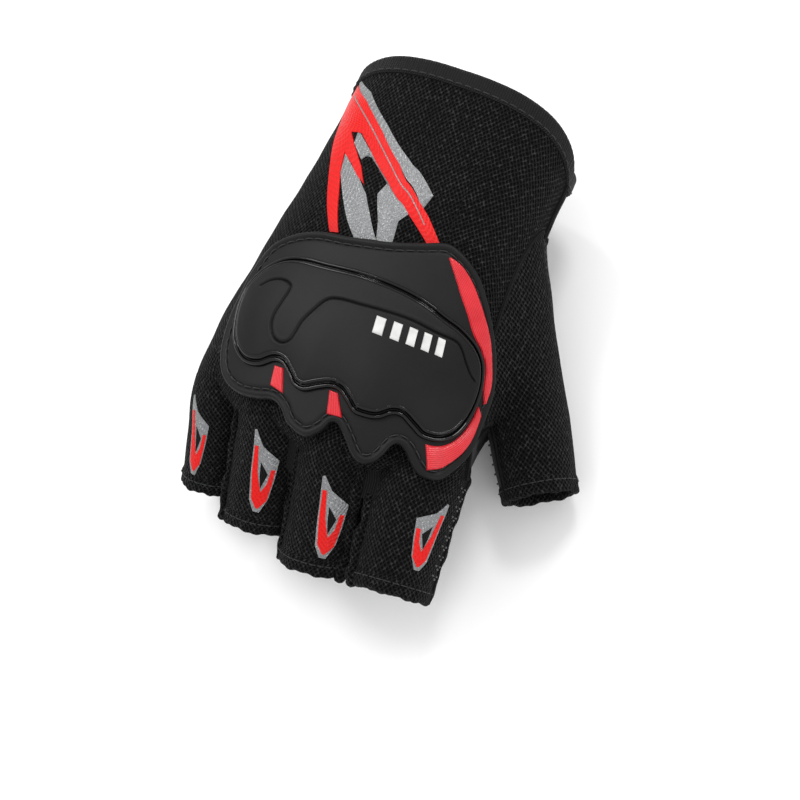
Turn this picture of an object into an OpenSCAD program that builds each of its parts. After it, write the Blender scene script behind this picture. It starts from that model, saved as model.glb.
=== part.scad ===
// Half-finger riding glove for the right hand, worn shape, palm down, fingers towards -Y.
// Distances "from the wrist" run along -Y; "girth angles" run round the hand:
// 0 thumb side, 90 back of the hand, 180 little-finger side, negative angles on the palm.

/* [Hand] */
// Breadth of the glove across the knuckles; the hand outline and all stalls scale with it
knuckle_width = 93; // [86:0.5:98]
// Thickness of the knitted shell
fabric = 1.4; // [1:0.1:1.8]
// How far the wrist edge bows towards the forearm on the back of the hand
cuff_bow = 12; // [0:1:14]
// Squareness of the hand section: 1 is an ellipse, lower is boxier
section_power = 0.8; // [0.7:0.05:1]
// Distance from the wrist at which the back starts to part into knuckles
knuckle_start = 80; // [72:1:86]

/* [Wrist binding] */
// Width of the elastic binding on the outside of the wrist edge
binding_width = 5; // [4:0.5:8]
// Thickness that the binding stands out of the fabric on each side
binding_rise = 0.8; // [0.5:0.1:1.2]

/* [Stalls] */
// Length of the index stall from the knuckle fold to the hem
index_length = 29.5; // [26:0.5:32]
// Length of the middle stall
middle_length = 29.5; // [27:0.5:32]
// Length of the ring stall
ring_length = 26.5; // [25:0.5:29]
// Length of the little stall
little_length = 25.5; // [23:0.5:28]
// Length of the moving part of the thumb stall
thumb_length = 22; // [20:0.5:24]
// Width of the folded hem at each fingertip edge
hem_width = 4; // [3:0.5:6]
// Wall of the folded hem
hem_wall = 1.8; // [1.6:0.1:2]

/* [Knuckle guard] */
// Height of the foam pad's underside above the smooth back of the hand
pad_base = 1.1; // [0.9:0.1:1.4]
// Thickness of the foam pad
pad_thickness = 1.3; // [1:0.1:2]
// Thickness of the moulded flange
flange_thickness = 1.9; // [1.4:0.1:2.4]
// Height of the raised shell above the flange
shell_height = 2.2; // [1.8:0.1:3.5]
// Thickness of the rim round the raised shell
rim_width = 1.5; // [1:0.1:1.8]
// Thickness of the coloured inserts above the flange
insert_rise = 0.9; // [0.5:0.1:1.2]

/* [Prints] */
// Thickness of the printed films
film = 0.4; // [0.3:0.05:0.6]

/* [Wrist tab] */
// Width of the hook-and-loop tab along the wrist
tab_width = 20; // [16:1:22]
// Distance from the wrist to the middle of the tab
tab_centre = 20; // [18:1:22]
// Thickness of the tab
tab_thickness = 1.6; // [1.2:0.1:2]

/* [Hidden] */
INDEX = 0;
MIDDLE = 1;
RING = 2;
LITTLE = 3;
THUMB = 4;
grow = knuckle_width / 93;
gap = 0.35;
joint_gap = 1.2;
knit_black = [0.10, 0.10, 0.11];
rubber_black = [0.17, 0.17, 0.17];
gloss_black = [0.06, 0.06, 0.06];
print_red = [0.86, 0.15, 0.14];
insert_red = [0.92, 0.28, 0.31];
print_grey = [0.60, 0.61, 0.62];
badge_white = [0.93, 0.93, 0.93];
suede_black = [0.16, 0.15, 0.15];

// Hand outline every 15 mm from the wrist:
// little-finger side X, thumb side X, back Z, palm Z
station_step = 15;
stations = [
    [-36, 36, 20.5, -19.5],
    [-37, 36, 20, -19.5],
    [-38.5, 37, 19.5, -19],
    [-41, 39.5, 19.5, -18],
    [-43.5, 42, 19.5, -16.5],
    [-46.5, 44.5, 19, -14.5],
    [-47.5, 46, 17.5, -13],
    [-47, 46.5, 15.5, -12.5],
    [-45, 46, 13, -12]
];

// Each stall: root centre X, distance from the wrist, Z, root radius, hem radius,
// lean towards the thumb side, pitch towards the palm, roll, length,
// bend, stretch, height of the bending axis below the stall's axis
digits = [
    [34.4, 105, 0.5, 12.4, 11, 6.5, 8, 0, index_length, 50, 10, 4.3],
    [9.4, 107, 2.5, 11.4, 11.4, 5, 25, 0, middle_length, 45, 25, 4],
    [-13.6, 105, 0, 11.1, 11.1, 4.5, 30, 0, ring_length, 45, 25, 3.9],
    [-35.4, 101, -5, 9.6, 9, 4.5, 33, 0, little_length, 45, 25, 3.4],
    [50, 71.3, -16.7, 12.2, 11, 32.5, 9.9, -50, thumb_length, 27, 13, 0]
];
// Girth angles between which each finger's share of the hand lies
shares = [[0, 68], [68, 92], [92, 120], [120, 180]];

// Opening for the thumb in the side of the hand: middle and half length along the hand,
// girth angles of its back edge and its palm edge
thumb_hole = [58.5, 38.5, 24, -52];

// Levels of the guard above the smooth back of the hand
flange_base = pad_base + pad_thickness + 0.1;
flange_top = flange_base + flange_thickness;
shell_top = flange_top + shell_height;

// Outline of the guard's flange as [girth angle, distance from the wrist]
flange_outline = [
    [132.5, 64], [130, 57], [125, 53], [116, 49.5], [107, 47.5], [97, 46.5], [87, 44], [77, 41],
    [68, 38.5], [62, 39], [55, 41], [48, 44], [41, 48.5], [34, 54], [27, 60], [22, 66],
    [19.5, 72], [20, 79], [22, 85], [26, 91.5], [31, 96.5], [36, 100.5], [41, 102], [46, 102],
    [51, 100], [55, 97.5], [58, 96.5], [60.5, 97.5], [62.5, 101], [65, 104], [69, 105.5],
    [73, 104.5], [77, 101], [80.5, 98], [82.5, 98], [84.5, 101.5], [88, 104.5], [91.5, 103],
    [94.5, 99.5], [98, 98], [103, 99], [110, 99.5], [117, 98], [123, 94.5], [128, 88],
    [130.5, 80], [131.5, 71]
];
// Outline of the raised shell
shell_outline = [
    [89.5, 55], [98.5, 56], [107.5, 56.5], [115, 58], [121, 61], [125, 64.5], [127.5, 69],
    [127, 74.5], [125, 79.5], [121.5, 85], [116.5, 89], [111, 91], [105.5, 90.5], [101, 88],
    [98, 88], [95.5, 90], [93, 92.5], [90.5, 93], [88.5, 91], [86, 89.5], [83.5, 89.5],
    [80.5, 91.5], [77.5, 93.5], [73, 93.5], [69, 92.5], [65, 90], [61.5, 89.5], [57, 91],
    [52, 92.5], [46, 92], [40.5, 90], [36, 87], [32, 82.5], [30, 77.5], [30, 71.5], [33, 66],
    [38.5, 62.5], [44.5, 60.5], [51, 59], [58, 58], [65.5, 56.5], [73, 55.5], [81, 55]
];
guard_middle = [82, 73];
// Edges of the red crescent on the flange, outer then inner
crescent = [
    [[64.5, 42], [58.5, 43], [51.5, 46], [45, 50], [39, 54], [33, 58.5], [28, 64], [24, 70],
     [24.5, 75]],
    [[66, 42.5], [59.5, 47], [54, 51.5], [48.5, 55], [43.5, 59], [36.5, 62.5], [31, 66],
     [28.5, 71.5], [25.5, 76]]
];
// Edges of the red corner on the flange, outer then inner
corner = [
    [[44.5, 100], [39, 98], [35.5, 95.5], [32, 92.5], [29, 89], [27, 86], [25.5, 82.5],
     [25, 79.5]],
    [[48, 94], [44, 93.3], [39.5, 91.8], [35.3, 89], [31.6, 85.6], [29.3, 82], [28.6, 79.5],
     [28.3, 77.5]]
];
// Edges of the two red wedges in the flange's valleys
wedges = [
    [[[100.5, 89.3], [99.5, 94.5]], [[97.5, 89.3], [95, 95.5]]],
    [[[86, 90.5], [84.5, 96.5]], [[83.5, 90.5], [80, 96]]]
];
// Edges of the slanted bars on the shell
badge_bars = [for (k = [0:4])
    let (a = 80.5 - 5.6 * k, s = 66 - 0.25 * k)
    [[[a, s + 5], [a - 3.2, s + 5]], [[a + 0.6, s], [a - 2.6, s]]]];
// Edges of the red bands of the wrist print
red_bands = [
    [
        [[152, 1.2], [130, 4.5], [119, 8.5], [109.5, 12.5], [99.5, 18], [95, 20.5],
         [89.5, 25.5], [85, 29], [79, 32.5], [70.5, 38.5]],
        [[153, 1.4], [153.5, 4.5], [151, 9], [128.5, 15], [121, 14.5], [111.5, 18.5],
         [96, 26.5], [90.5, 30.5], [86, 34], [75.5, 40]]
    ],
    [
        [[151, 10.4], [143.5, 17], [133.5, 25], [122.5, 34.5], [109, 46]],
        [[128, 16.4], [125.5, 21.5], [122, 27], [114.5, 35], [105, 45.5]]
    ]
];
// Edges of the grey bands of the wrist print
grey_bands = [
    [
        [[141, -0.9], [130.5, 1.5], [108, 10.5], [93, 18], [84, 24], [81, 26], [82.5, 30.5]],
        [[139, 1.5], [128, 4.4], [108.5, 12], [95, 19.5], [86.8, 26.2], [85.4, 27.8],
         [83.4, 29.8]]
    ],
    [
        [[124.5, 22.5], [120.5, 28], [110.5, 36], [103.5, 41.5], [98, 45.5]],
        [[122, 22], [109, 28], [102, 32], [97, 37], [93, 44.5]]
    ],
    [
        [[118, 20], [108, 24], [99, 29], [95, 35], [91, 44]],
        [[117, 17.5], [108, 21.5], [97, 27.8], [88.8, 34.4], [87.5, 43]]
    ]
];
// Marks on the stalls as [distance round the stall, distance along it] from the mark's corner
mark_field = [
    [[1.1, 0.3], [1.3, 4], [1.6, 8], [2, 14], [2.6, 20.5], [4.3, 23.8]],
    [[1.9, 0], [4.5, 4], [9.9, 7.4], [9.3, 13.5], [8.3, 19.5], [6.2, 23.9]]
];
mark_stripes = [
    [[[1.9, 4.4], [2.3, 10], [2.9, 16], [5.6, 22.4]],
     [[3.1, 4.4], [3.8, 10], [4.8, 15.5], [5.6, 17.6]]],
    [[[9.1, 10.6], [8.7, 14], [8, 18.5], [5.9, 22.4]],
     [[7.9, 10.6], [7.3, 13.5], [6.6, 16], [5.9, 17.6]]]
];
// Each finger's mark: its distance round from the stall's top, its distance from the root,
// and its width and length against the mark above
mark_places = [[15.8, 2.5, -1, 0.85], [0, 2, 1, 0.92], [-2.1, 2, 0.95, 0.8], [-6.8, 2, 0.8, 0.78]];

function mix(a, b, k) = a + (b - a) * k;
function clamp(k) = min(max(k, 0), 1);
function ease(k) = let (c = clamp(k)) c * c * (3 - 2 * c);
function power(c, e) = sign(c) * pow(abs(c), e);
function sum(list, k = 0) = k == len(list) - 1 ? list[k] : list[k] + sum(list, k + 1);
function mean(list) = sum(list) / len(list);

// Smooth curve through four values in a row
function through(a, b, c, d, f) =
    b + 0.5 * f * (c - a + f * (2 * a - 5 * b + 4 * c - d + f * (3 * (b - c) + d - a)));
// Smooth curve through a list, at list position k
function along(list, k) =
    let (last = len(list) - 1, i = min(max(floor(k), 0), last - 1))
    through(list[max(i - 1, 0)], list[i], list[i + 1], list[min(i + 2, last)], k - i);
// The same through a closed list
function round_loop(list, k) =
    let (n = len(list), i = floor(k))
    through(list[(i + n - 1) % n], list[i % n], list[(i + 1) % n], list[(i + 2) % n], k - i);

// The back of the hand falls away towards the sides of the knuckles
function knuckle_fall(x, s) =
    let (w = clamp((s - 30) / 70), q = x < 9 ? (x - 9) / 44 : (x - 9) / 37)
    -w * q * q * (x < 9 ? 5.5 : 2);

// Point of the smooth hand at a girth angle and a distance from the wrist
function hand_point(angle, s, lift = 0) =
    let (
        o = along(stations, s / station_step),
        c = power(cos(angle), section_power),
        e = power(sin(angle), section_power),
        x = (o[0] + o[1]) / 2 + ((o[1] - o[0]) / 2 + lift) * c,
        z = (e >= 0 ? o[2] + lift : lift - o[3]) * e
    )
    grow * [x, -s, z + knuckle_fall(x, s)];

// The same for pieces laid on the glove: they rise over the index knuckle
function laid_point(angle, s, lift) =
    let (rise = angle < 0 ? 0 : 1.4 * ease((62 - angle) / 20) * ease((s - 80) / 12))
    hand_point(angle, s, lift + rise);

// Directions of a stall: along it, across it, and up
function stall_axis(d) =
    let (l = digits[d][5], p = digits[d][6]) [sin(l) * cos(p), -cos(l) * cos(p), -sin(p)];
function stall_across(d) = let (l = digits[d][5]) [cos(l), sin(l), 0];
function stall_up(d) = cross(stall_axis(d), stall_across(d));
// Centre of a stall's root
function root_centre(d) = grow * [digits[d][0], -digits[d][1], digits[d][2]];
// Point of a stall's outer wall, or of its tube prolonged backwards into the hand
function stall_point(d, turn, back, radius, lift = 0) =
    root_centre(d) - stall_axis(d) * back
    + (radius + lift) * (stall_across(d) * cos(turn) + stall_up(d) * sin(turn));

// Girth angle of the thumb opening's edge, from its back edge or its palm edge
function hole_edge(s, reach) =
    reach * sqrt(max(0, 1 - pow((s - thumb_hole[0]) / thumb_hole[1], 2)));

// Point of the glove's skin: turn 0 to 180 is the back of finger f's share, 180 to 360 its palm
function skin(f, turn, s, lift = 0) =
    let (
        back = turn <= 180,
        k = back ? turn / 180 : (360 - turn) / 180,
        reach = back ? thumb_hole[2] : -thumb_hole[3],
        low = f == INDEX ? hole_edge(s, reach) : shares[f][0],
        angle = mix(low, shares[f][1], k) * (back ? 1 : -1),
        root = digits[f][1],
        w = pow(ease((s - knuckle_start) / (root - knuckle_start)), 1.3),
        tube = stall_point(f, turn, grow * (root - s), grow * digits[f][3], lift)
    )
    mix(hand_point(angle, s, lift), tube, w);
// The inside of the same skin, kept thick in the folds between fingers
function lining(f, turn, s) =
    let (w = ease((s - knuckle_start) / (digits[f][1] - knuckle_start)))
    skin(f, turn, s, -fabric)
    - [0, 0, (turn <= 180 ? 1 : -1) * 0.6 * w * pow(abs(cos(turn)), 6)];

// Distance of the wrist edge from the wrist line, at a girth angle
function wrist_edge(angle) = -cuff_bow * pow(max(0, sin(angle)), 0.7);

// Triangle that faces outwards, with its corners turned if the grid runs the other way
function tri(a, b, c, turned) = turned ? [a, b, c] : [a, c, b];
// Whether a cell of a grid faces away from the points under it
function is_turned(a, next, side, under) = cross(next - a, side - a) * (a - under) < 0;

// Closed solid between a grid of points and the same grid under it
module plate(top, under) {
    rows = len(top);
    cols = len(top[0]);
    i = floor(rows / 2) - (rows % 2 == 0 ? 1 : 0);
    j = floor(cols / 2) - (cols % 2 == 0 ? 1 : 0);
    turned = is_turned(top[i][j], top[i][j + 1], top[i + 1][j], under[i][j]);
    count = rows * cols;
    edge = concat(
        [for (c = [0:cols - 2]) c],
        [for (r = [0:rows - 2]) r * cols + cols - 1],
        [for (c = [cols - 1:-1:1]) (rows - 1) * cols + c],
        [for (r = [rows - 1:-1:1]) r * cols]
    );
    function cell(r, c, base, turn) =
        let (a = base + r * cols + c)
        [tri(a, a + 1, a + cols + 1, turn), tri(a, a + cols + 1, a + cols, turn)];
    polyhedron(
        points = concat([for (r = top) each r], [for (r = under) each r]),
        faces = concat(
            [for (r = [0:rows - 2], c = [0:cols - 2]) each cell(r, c, 0, turned)],
            [for (r = [0:rows - 2], c = [0:cols - 2]) each cell(r, c, count, !turned)],
            [for (k = [0:len(edge) - 1])
                let (p = edge[k], q = edge[(k + 1) % len(edge)])
                each [tri(p + count, q + count, q, turned), tri(p + count, q, p, turned)]]
        )
    );
}

// Closed solid between two stacks of rings that shrink towards a middle point
module disc(top, under) {
    rings = len(top);
    n = len(top[0]);
    turned = is_turned(top[0][0], top[0][1], top[1][0], under[0][0]);
    half = rings * n + 1;
    function at(side, ring, k) = side * half + ring * n + k % n;
    function cell(side, r, k, turn) = [
        tri(at(side, r, k), at(side, r, k + 1), at(side, r + 1, k + 1), turn),
        tri(at(side, r, k), at(side, r + 1, k + 1), at(side, r + 1, k), turn)
    ];
    function cap(side, k, turn) =
        tri(at(side, rings - 1, k), at(side, rings - 1, k + 1), side * half + half - 1, turn);
    polyhedron(
        points = concat(
            [for (r = top) each r], [mean(top[rings - 1])],
            [for (r = under) each r], [mean(under[rings - 1])]
        ),
        faces = concat(
            [for (r = [0:rings - 2], k = [0:n - 1]) each cell(0, r, k, turned)],
            [for (k = [0:n - 1]) cap(0, k, turned)],
            [for (r = [0:rings - 2], k = [0:n - 1]) each cell(1, r, k, !turned)],
            [for (k = [0:n - 1]) cap(1, k, !turned)],
            [for (k = [0:n - 1]) each [
                tri(at(1, 0, k), at(1, 0, k + 1), at(0, 0, k + 1), turned),
                tri(at(1, 0, k), at(0, 0, k + 1), at(0, 0, k), turned)
            ]]
        )
    );
}

// Closed ring swept through a loop of closed sections
module loop_sweep(sections) {
    n = len(sections);
    m = len(sections[0]);
    turned = is_turned(sections[0][0], sections[0][1], sections[1][0], mean(sections[0]));
    function at(i, j) = (i % n) * m + j % m;
    polyhedron(
        points = [for (s = sections) each s],
        faces = [for (i = [0:n - 1], j = [0:m - 1]) each [
            tri(at(i, j), at(i, j + 1), at(i + 1, j + 1), turned),
            tri(at(i, j), at(i + 1, j + 1), at(i + 1, j), turned)
        ]]
    );
}

// Plate on the smooth hand between two edges given as [girth angle, distance]
module band(edges, low, high, steps = 12, across = 3) {
    last = len(edges[0]) - 1;
    function spot(a, c) =
        mix(along(edges[0], a * last / steps), along(edges[1], a * last / steps), c / across);
    function level(lift) = [for (a = [0:steps]) [for (c = [0:across])
        let (p = spot(a, c)) laid_point(p[0], p[1], lift)]];
    plate(level(high), level(low));
}

// Disc on the smooth hand inside an outline, shrunk ring by ring to the middle;
// each ring is [share of the outline's size, lift]
module blanket(outline, middle, rings, low, count = 94) {
    function ring(size, lift) = [for (k = [0:count - 1])
        let (p = mix(middle, round_loop(outline, k * len(outline) / count), size))
        laid_point(p[0], p[1], lift)];
    disc([for (r = rings) ring(r[0], r[1])], [for (r = rings) ring(r[0], low)]);
}

// Moves its children into a stall's own frame: Z along the stall, Y away from the bend
module stall_frame(d) {
    g = digits[d];
    translate(root_centre(d)) rotate([90 + g[6], 0, g[5]]) rotate([0, 0, g[7]]) children();
}

// Room for the stall's root to swing both ways about its bending axis
module swing_room(d) {
    g = digits[d];
    for (tilt = [-g[9], g[10]])
        translate([0, -g[11] * grow, joint_gap]) rotate([tilt, 0, 0])
            translate([-40, -40, -80]) cube([80, 80, 80]);
}

// Strip of a stall's wall between two angles round the stall
module stall_strip(d, from, to) {
    g = digits[d];
    length = g[8] - hem_width - 0.1;
    root = grow * g[3];
    tip = mix(root, grow * g[4], length / g[8]);
    stall_frame(d) difference() {
        rotate([0, 0, from]) rotate_extrude(angle = to - from, $fn = 72)
            polygon([[root - fabric, 0], [root, 0], [tip, length], [tip - fabric, length]]);
        swing_room(d);
    }
}

module stall_hem(d) {
    g = digits[d];
    radius = grow * g[4];
    color(knit_black) stall_frame(d) translate([0, 0, g[8] - hem_width]) difference() {
        cylinder(r = radius, h = hem_width, $fn = 72);
        translate([0, 0, -1]) cylinder(r = radius - hem_wall, h = hem_width + 2, $fn = 72);
    }
}

// Plate on a stall between two edges given as [distance round, distance along]
module stall_band(f, edges, low, high, steps = 10) {
    g = digits[f];
    last = len(edges[0]) - 1;
    place = mark_places[f];
    function level(lift) = [for (a = [0:steps]) [for (c = [0:4])
        let (
            p = mix(along(edges[0], a * last / steps), along(edges[1], a * last / steps), c / 4),
            reach = p[1] * place[3] + place[1],
            radius = grow * mix(g[3], g[4], reach / g[8]),
            turn = 90 - (p[0] * place[2] + place[0]) / radius * 180 / PI
        )
        stall_point(f, turn, -reach, radius, lift)]];
    plate(level(high), level(low));
}

// Angles round each finger's stall: back strip, palm strip and side walls
back_arcs = [[-20, 150], [30, 150], [30, 150], [30, 200]];
palm_arcs = [[210, 340], [210, 330], [210, 330], [200, 330]];
side_arcs = [[[150, 210]], [[-30, 30], [150, 210]], [[-30, 30], [150, 210]], [[-30, 30]]];
// Half of the slit between neighbouring strips, as an angle
slit = 1;

module finger_back(f) {
    color(knit_black) stall_strip(f, back_arcs[f][0] + slit, back_arcs[f][1] - slit);
}

module finger_palm(f) {
    color(suede_black) stall_strip(f, palm_arcs[f][0] + slit, palm_arcs[f][1] - slit);
}

module finger_sides(f) {
    color(knit_black) for (arc = side_arcs[f]) stall_strip(f, arc[0] + slit, arc[1] - slit);
}

module finger_mark_grey(f) {
    color(print_grey) stall_band(f, mark_field, 0.2, 0.2 + film);
}

module finger_mark_red(f) {
    color(print_red) for (edges = mark_stripes)
        stall_band(f, edges, 0.3 + film, 0.3 + 1.6 * film, 6);
}

module thumb_back() {
    color(knit_black) stall_strip(THUMB, -10 + slit, 190 - slit);
}

module thumb_front() {
    color(suede_black) stall_strip(THUMB, 190 + slit, 350 - slit);
}

// Back of the hand, from the wrist to the four knuckle folds
module back_panel() {
    rows = 18;
    per_finger = 6;
    function level(inner) = [for (r = [0:rows]) [for (f = [LITTLE:-1:INDEX], k = [0:per_finger])
        let (
            turn = 172 - 164 * k / per_finger,
            angle = mix(shares[f][0], shares[f][1], turn / 180),
            s = mix(wrist_edge(angle) + 0.5, digits[f][1], r / rows)
        )
        inner ? lining(f, turn, s) : skin(f, turn, s)]];
    color(knit_black) plate(level(false), level(true));
}

// Where the palm panel meets the wrist pieces
palm_start = 36;

// Palm, from the wrist pieces to the four finger folds
module palm_panel() {
    rows = 13;
    per_finger = 4;
    function level(inner) = [for (r = [0:rows]) [for (f = [LITTLE:-1:INDEX], k = [0:per_finger])
        let (turn = 188 + 164 * k / per_finger, s = mix(palm_start, digits[f][1], r / rows))
        inner ? lining(f, turn, s) : skin(f, turn, s)]];
    color(suede_black) plate(level(false), level(true));
}

// Plate in the palm side of the wrist between two girth angles
module wrist_piece(from, to, hole, low, high, steps) {
    rows = 5;
    function level(lift) = [for (r = [0:rows]) [for (k = [0:steps])
        let (
            s = mix(0.5, palm_start - gap, r / rows),
            start = hole ? from - hole_edge(s, -thumb_hole[3]) : from
        )
        hand_point(mix(start, to, k / steps), s, lift)]];
    plate(level(high), level(low));
}

module wrist_palm_thumb_side() {
    color(knit_black) wrist_piece(-2, -78, true, -fabric, 0, 10);
}

module wrist_palm_little_side() {
    color(knit_black) wrist_piece(-102, -177, false, -fabric, 0, 10);
}

// Stretch insert that lets the wrist open
module wrist_gusset() {
    color(gloss_black) wrist_piece(-79, -101, false, -fabric, -0.4, 6);
}

// Folded elastic round the wrist edge: flat on both faces, rounded over the edge
module wrist_binding() {
    count = 72;
    // Steps round the fold as [distance from the edge, lift]
    fold = [
        [binding_width, 0.2], [binding_width, binding_rise], [1, binding_rise],
        [-0.6, 0.2], [-0.6, -fabric - 0.2], [1, -fabric - binding_rise],
        [binding_width, -fabric - binding_rise], [binding_width, -fabric - 0.2],
        [0.2, -fabric - 0.2], [0.2, 0.2]
    ];
    color(gloss_black) loop_sweep([for (k = [0:count - 1])
        let (angle = k * 360 / count - 180)
        [for (p = fold) hand_point(angle, wrist_edge(angle) + p[0], p[1])]]);
}

// Half of the sleeve from the opening in the side of the hand to the moving thumb stall,
// between two turns round the thumb
module thumb_sleeve(from, to) {
    count = 18;
    steps = 7;
    radius = grow * digits[THUMB][3];
    function edge(turn, lift) =
        let (s = thumb_hole[0] - thumb_hole[1] * 0.985 * cos(turn))
        skin(INDEX, from < 180 ? 0 : 360, s, lift);
    function wall(turn, k, lift) =
        let (
            a = edge(turn, lift),
            c = stall_point(THUMB, turn, 0, radius, lift),
            pull = max(2, 0.5 * (c - a) * stall_axis(THUMB)),
            b = c - stall_axis(THUMB) * pull
        )
        mix(mix(a, b, k), mix(b, c, k), k);
    function level(lift) = [for (i = [0:count]) [for (k = [0:steps])
        wall(mix(from, to, i / count), 0.02 + 0.95 * k / steps, lift)]];
    color(knit_black) plate(level(0), level(-fabric));
}

module thumb_sleeve_back() {
    thumb_sleeve(2, 178);
}

module thumb_sleeve_palm() {
    thumb_sleeve(182, 358);
}

// Raised seams down both sides of the hand
module side_seams() {
    color(gloss_black) {
        band([[[178.5, 6], [178.5, 50], [178.5, 88]], [[181.5, 6], [181.5, 50], [181.5, 88]]], 0.05, 0.8);
        band([[[1.5, 6], [1.5, 18]], [[-1.5, 6], [-1.5, 18]]], 0.05, 0.8, 3);
    }
}

// Reinforcing patch on the palm
module palm_patch() {
    outline = [
        [-60, 62], [-55, 76], [-64, 88], [-82, 92], [-104, 91], [-124, 86],
        [-136, 76], [-134, 58], [-120, 47], [-98, 43], [-76, 47]
    ];
    color(suede_black)
        blanket(outline, [-96, 68], [[1, 1.2], [0.8, 1.4], [0.6, 1.4], [0.4, 1.4], [0.2, 1.4]], 0.5, 44);
}

// Grip bars moulded onto the palm patch
module palm_grips() {
    color(gloss_black) for (k = [0:4])
        let (s = 52 + 7.5 * k)
        band(
            [[[-70, s - 1.5], [-84, s + 1], [-104, s + 1], [-122, s - 2]],
             [[-70, s + 1.5], [-84, s + 4], [-104, s + 4], [-122, s + 1]]],
            1.6, 2.1, 16, 1
        );
}

// Foam pad between the fabric and the guard
module knuckle_pad() {
    color(suede_black)
        blanket(
            flange_outline, guard_middle,
            [for (size = [0.965, 0.85, 0.7, 0.55, 0.4, 0.2]) [size, pad_base + pad_thickness]],
            pad_base
        );
}

// Moulded flange that is sewn to the back of the hand
module guard_flange() {
    color(rubber_black)
        blanket(
            flange_outline, guard_middle,
            [[1, flange_top - 0.5], [0.98, flange_top], [0.85, flange_top], [0.7, flange_top],
             [0.55, flange_top], [0.4, flange_top], [0.2, flange_top]],
            flange_base
        );
}

// Raised shell over the knuckles
module guard_shell() {
    color(rubber_black)
        blanket(
            shell_outline, guard_middle,
            [[0.94, flange_top + 0.6 * shell_height], [0.9, flange_top + 0.9 * shell_height],
             [0.8, shell_top], [0.6, shell_top + 0.2], [0.4, shell_top + 0.2],
             [0.2, shell_top + 0.2]],
            flange_top + 0.3
        );
}

// Rounded rim round the raised shell
module guard_rim() {
    count = 96;
    function inset(k, away) =
        let (p = round_loop(shell_outline, k * len(shell_outline) / count))
        mix(guard_middle, p, 1 + away);
    width = rim_width / 60;
    // Steps round the rim's section as [share moved outwards, lift above the flange]
    section = [[-2 * width, 0.1], [-2 * width, 0.9], [-width, 1.3], [0, 0.9], [0, 0.1]];
    color(gloss_black) loop_sweep([for (k = [0:count - 1])
        [for (q = section)
            let (p = inset(k, q[0])) laid_point(p[0], p[1], flange_top + q[1])]]);
}

// Stitches that hold the flange, a little inside its edge
module guard_stitching() {
    count = 72;
    function spot(k, size) =
        mix(guard_middle, round_loop(flange_outline, (k % count) * len(flange_outline) / count), size);
    function level(k, lift) = [for (size = [0.945, 0.955]) [for (part = [0, 0.55])
        let (p = spot(k + part, size)) laid_point(p[0], p[1], lift)]];
    color(gloss_black) for (k = [0:count - 1])
        plate(level(k, flange_top + 0.5), level(k, flange_top + 0.1));
}

module guard_crescent() {
    color(insert_red) band(crescent, flange_top + 0.1, flange_top + insert_rise, 16);
}

module guard_corner() {
    color(insert_red) band(corner, flange_top + 0.1, flange_top + insert_rise, 14);
}

module guard_wedges() {
    color(insert_red) for (edges = wedges)
        band(edges, flange_top + 0.1, flange_top + insert_rise, 3);
}

// Plain slanted bars on the shell
module guard_badge() {
    color(badge_white) for (edges = badge_bars)
        band(edges, shell_top + 0.35, shell_top + 0.75, 2, 1);
}

module wrist_print_red() {
    color(print_red) for (edges = red_bands) band(edges, 0.35, 0.35 + film, 22);
}

module wrist_print_grey() {
    color(print_grey) for (edges = grey_bands) band(edges, 0.35, 0.35 + film, 16);
}

// Levels of the wrist tab below the palm side
loop_low = 0.35;
loop_top = 1;
hook_low = loop_top + gap;
hook_top = hook_low + 0.7;
tab_low = hook_top + 0.15;
tab_top = tab_low + tab_thickness;
// Girth angles of the tab: sewn end, bending line, free end
tab_sewn = -176;
tab_bend = -150;
tab_free = -64;

// Plate on the wrist with square sides and, when asked, a rounded free end
module tab_piece(from, to, low, high, half, rounding, steps = 22) {
    function reach(k) = half * sqrt(1 - pow(max(0, (k - 1 + rounding) / rounding), 2) * 0.75);
    function level(lift) = [for (k = [0:steps]) [for (side = [-1, 1])
        let (u = k / steps)
        hand_point(mix(from, to, u), tab_centre + side * reach(u), lift)]];
    plate(level(high), level(low));
}

module tab_anchor() {
    color(gloss_black)
        tab_piece(tab_sewn, tab_bend - 1.5, 0.3, tab_top, tab_width / 2, 0.01, 6);
}

module wrist_tab() {
    color(gloss_black)
        tab_piece(tab_bend + 1.5, tab_free, tab_low, tab_top, tab_width / 2, 0.16);
}

module hook_patch() {
    color(suede_black)
        tab_piece(tab_free - 22, tab_free - 4, hook_low, hook_top, tab_width / 2 - 3, 0.01, 6);
}

module loop_patch() {
    color(suede_black)
        tab_piece(-128, -62, loop_low, loop_top, tab_width / 2 - 2, 0.01, 18);
}

back_panel();
palm_panel();
wrist_palm_thumb_side();
wrist_palm_little_side();
wrist_gusset();
wrist_binding();
thumb_sleeve_back();
thumb_sleeve_palm();
side_seams();
palm_patch();
palm_grips();
knuckle_pad();
guard_flange();
guard_shell();
guard_rim();
guard_stitching();
guard_crescent();
guard_corner();
guard_wedges();
guard_badge();
wrist_print_red();
wrist_print_grey();
tab_anchor();
loop_patch();
wrist_tab();
hook_patch();
thumb_back();
thumb_front();
stall_hem(THUMB);  // thumb_hem
finger_back(INDEX);  // index_back
finger_palm(INDEX);  // index_palm
finger_sides(INDEX);  // index_side
stall_hem(INDEX);  // index_hem
finger_mark_grey(INDEX);  // index_mark_grey
finger_mark_red(INDEX);  // index_mark_red
finger_back(MIDDLE);  // middle_back
finger_palm(MIDDLE);  // middle_palm
finger_sides(MIDDLE);  // middle_sides
stall_hem(MIDDLE);  // middle_hem
finger_mark_grey(MIDDLE);  // middle_mark_grey
finger_mark_red(MIDDLE);  // middle_mark_red
finger_back(RING);  // ring_back
finger_palm(RING);  // ring_palm
finger_sides(RING);  // ring_sides
stall_hem(RING);  // ring_hem
finger_mark_grey(RING);  // ring_mark_grey
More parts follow.
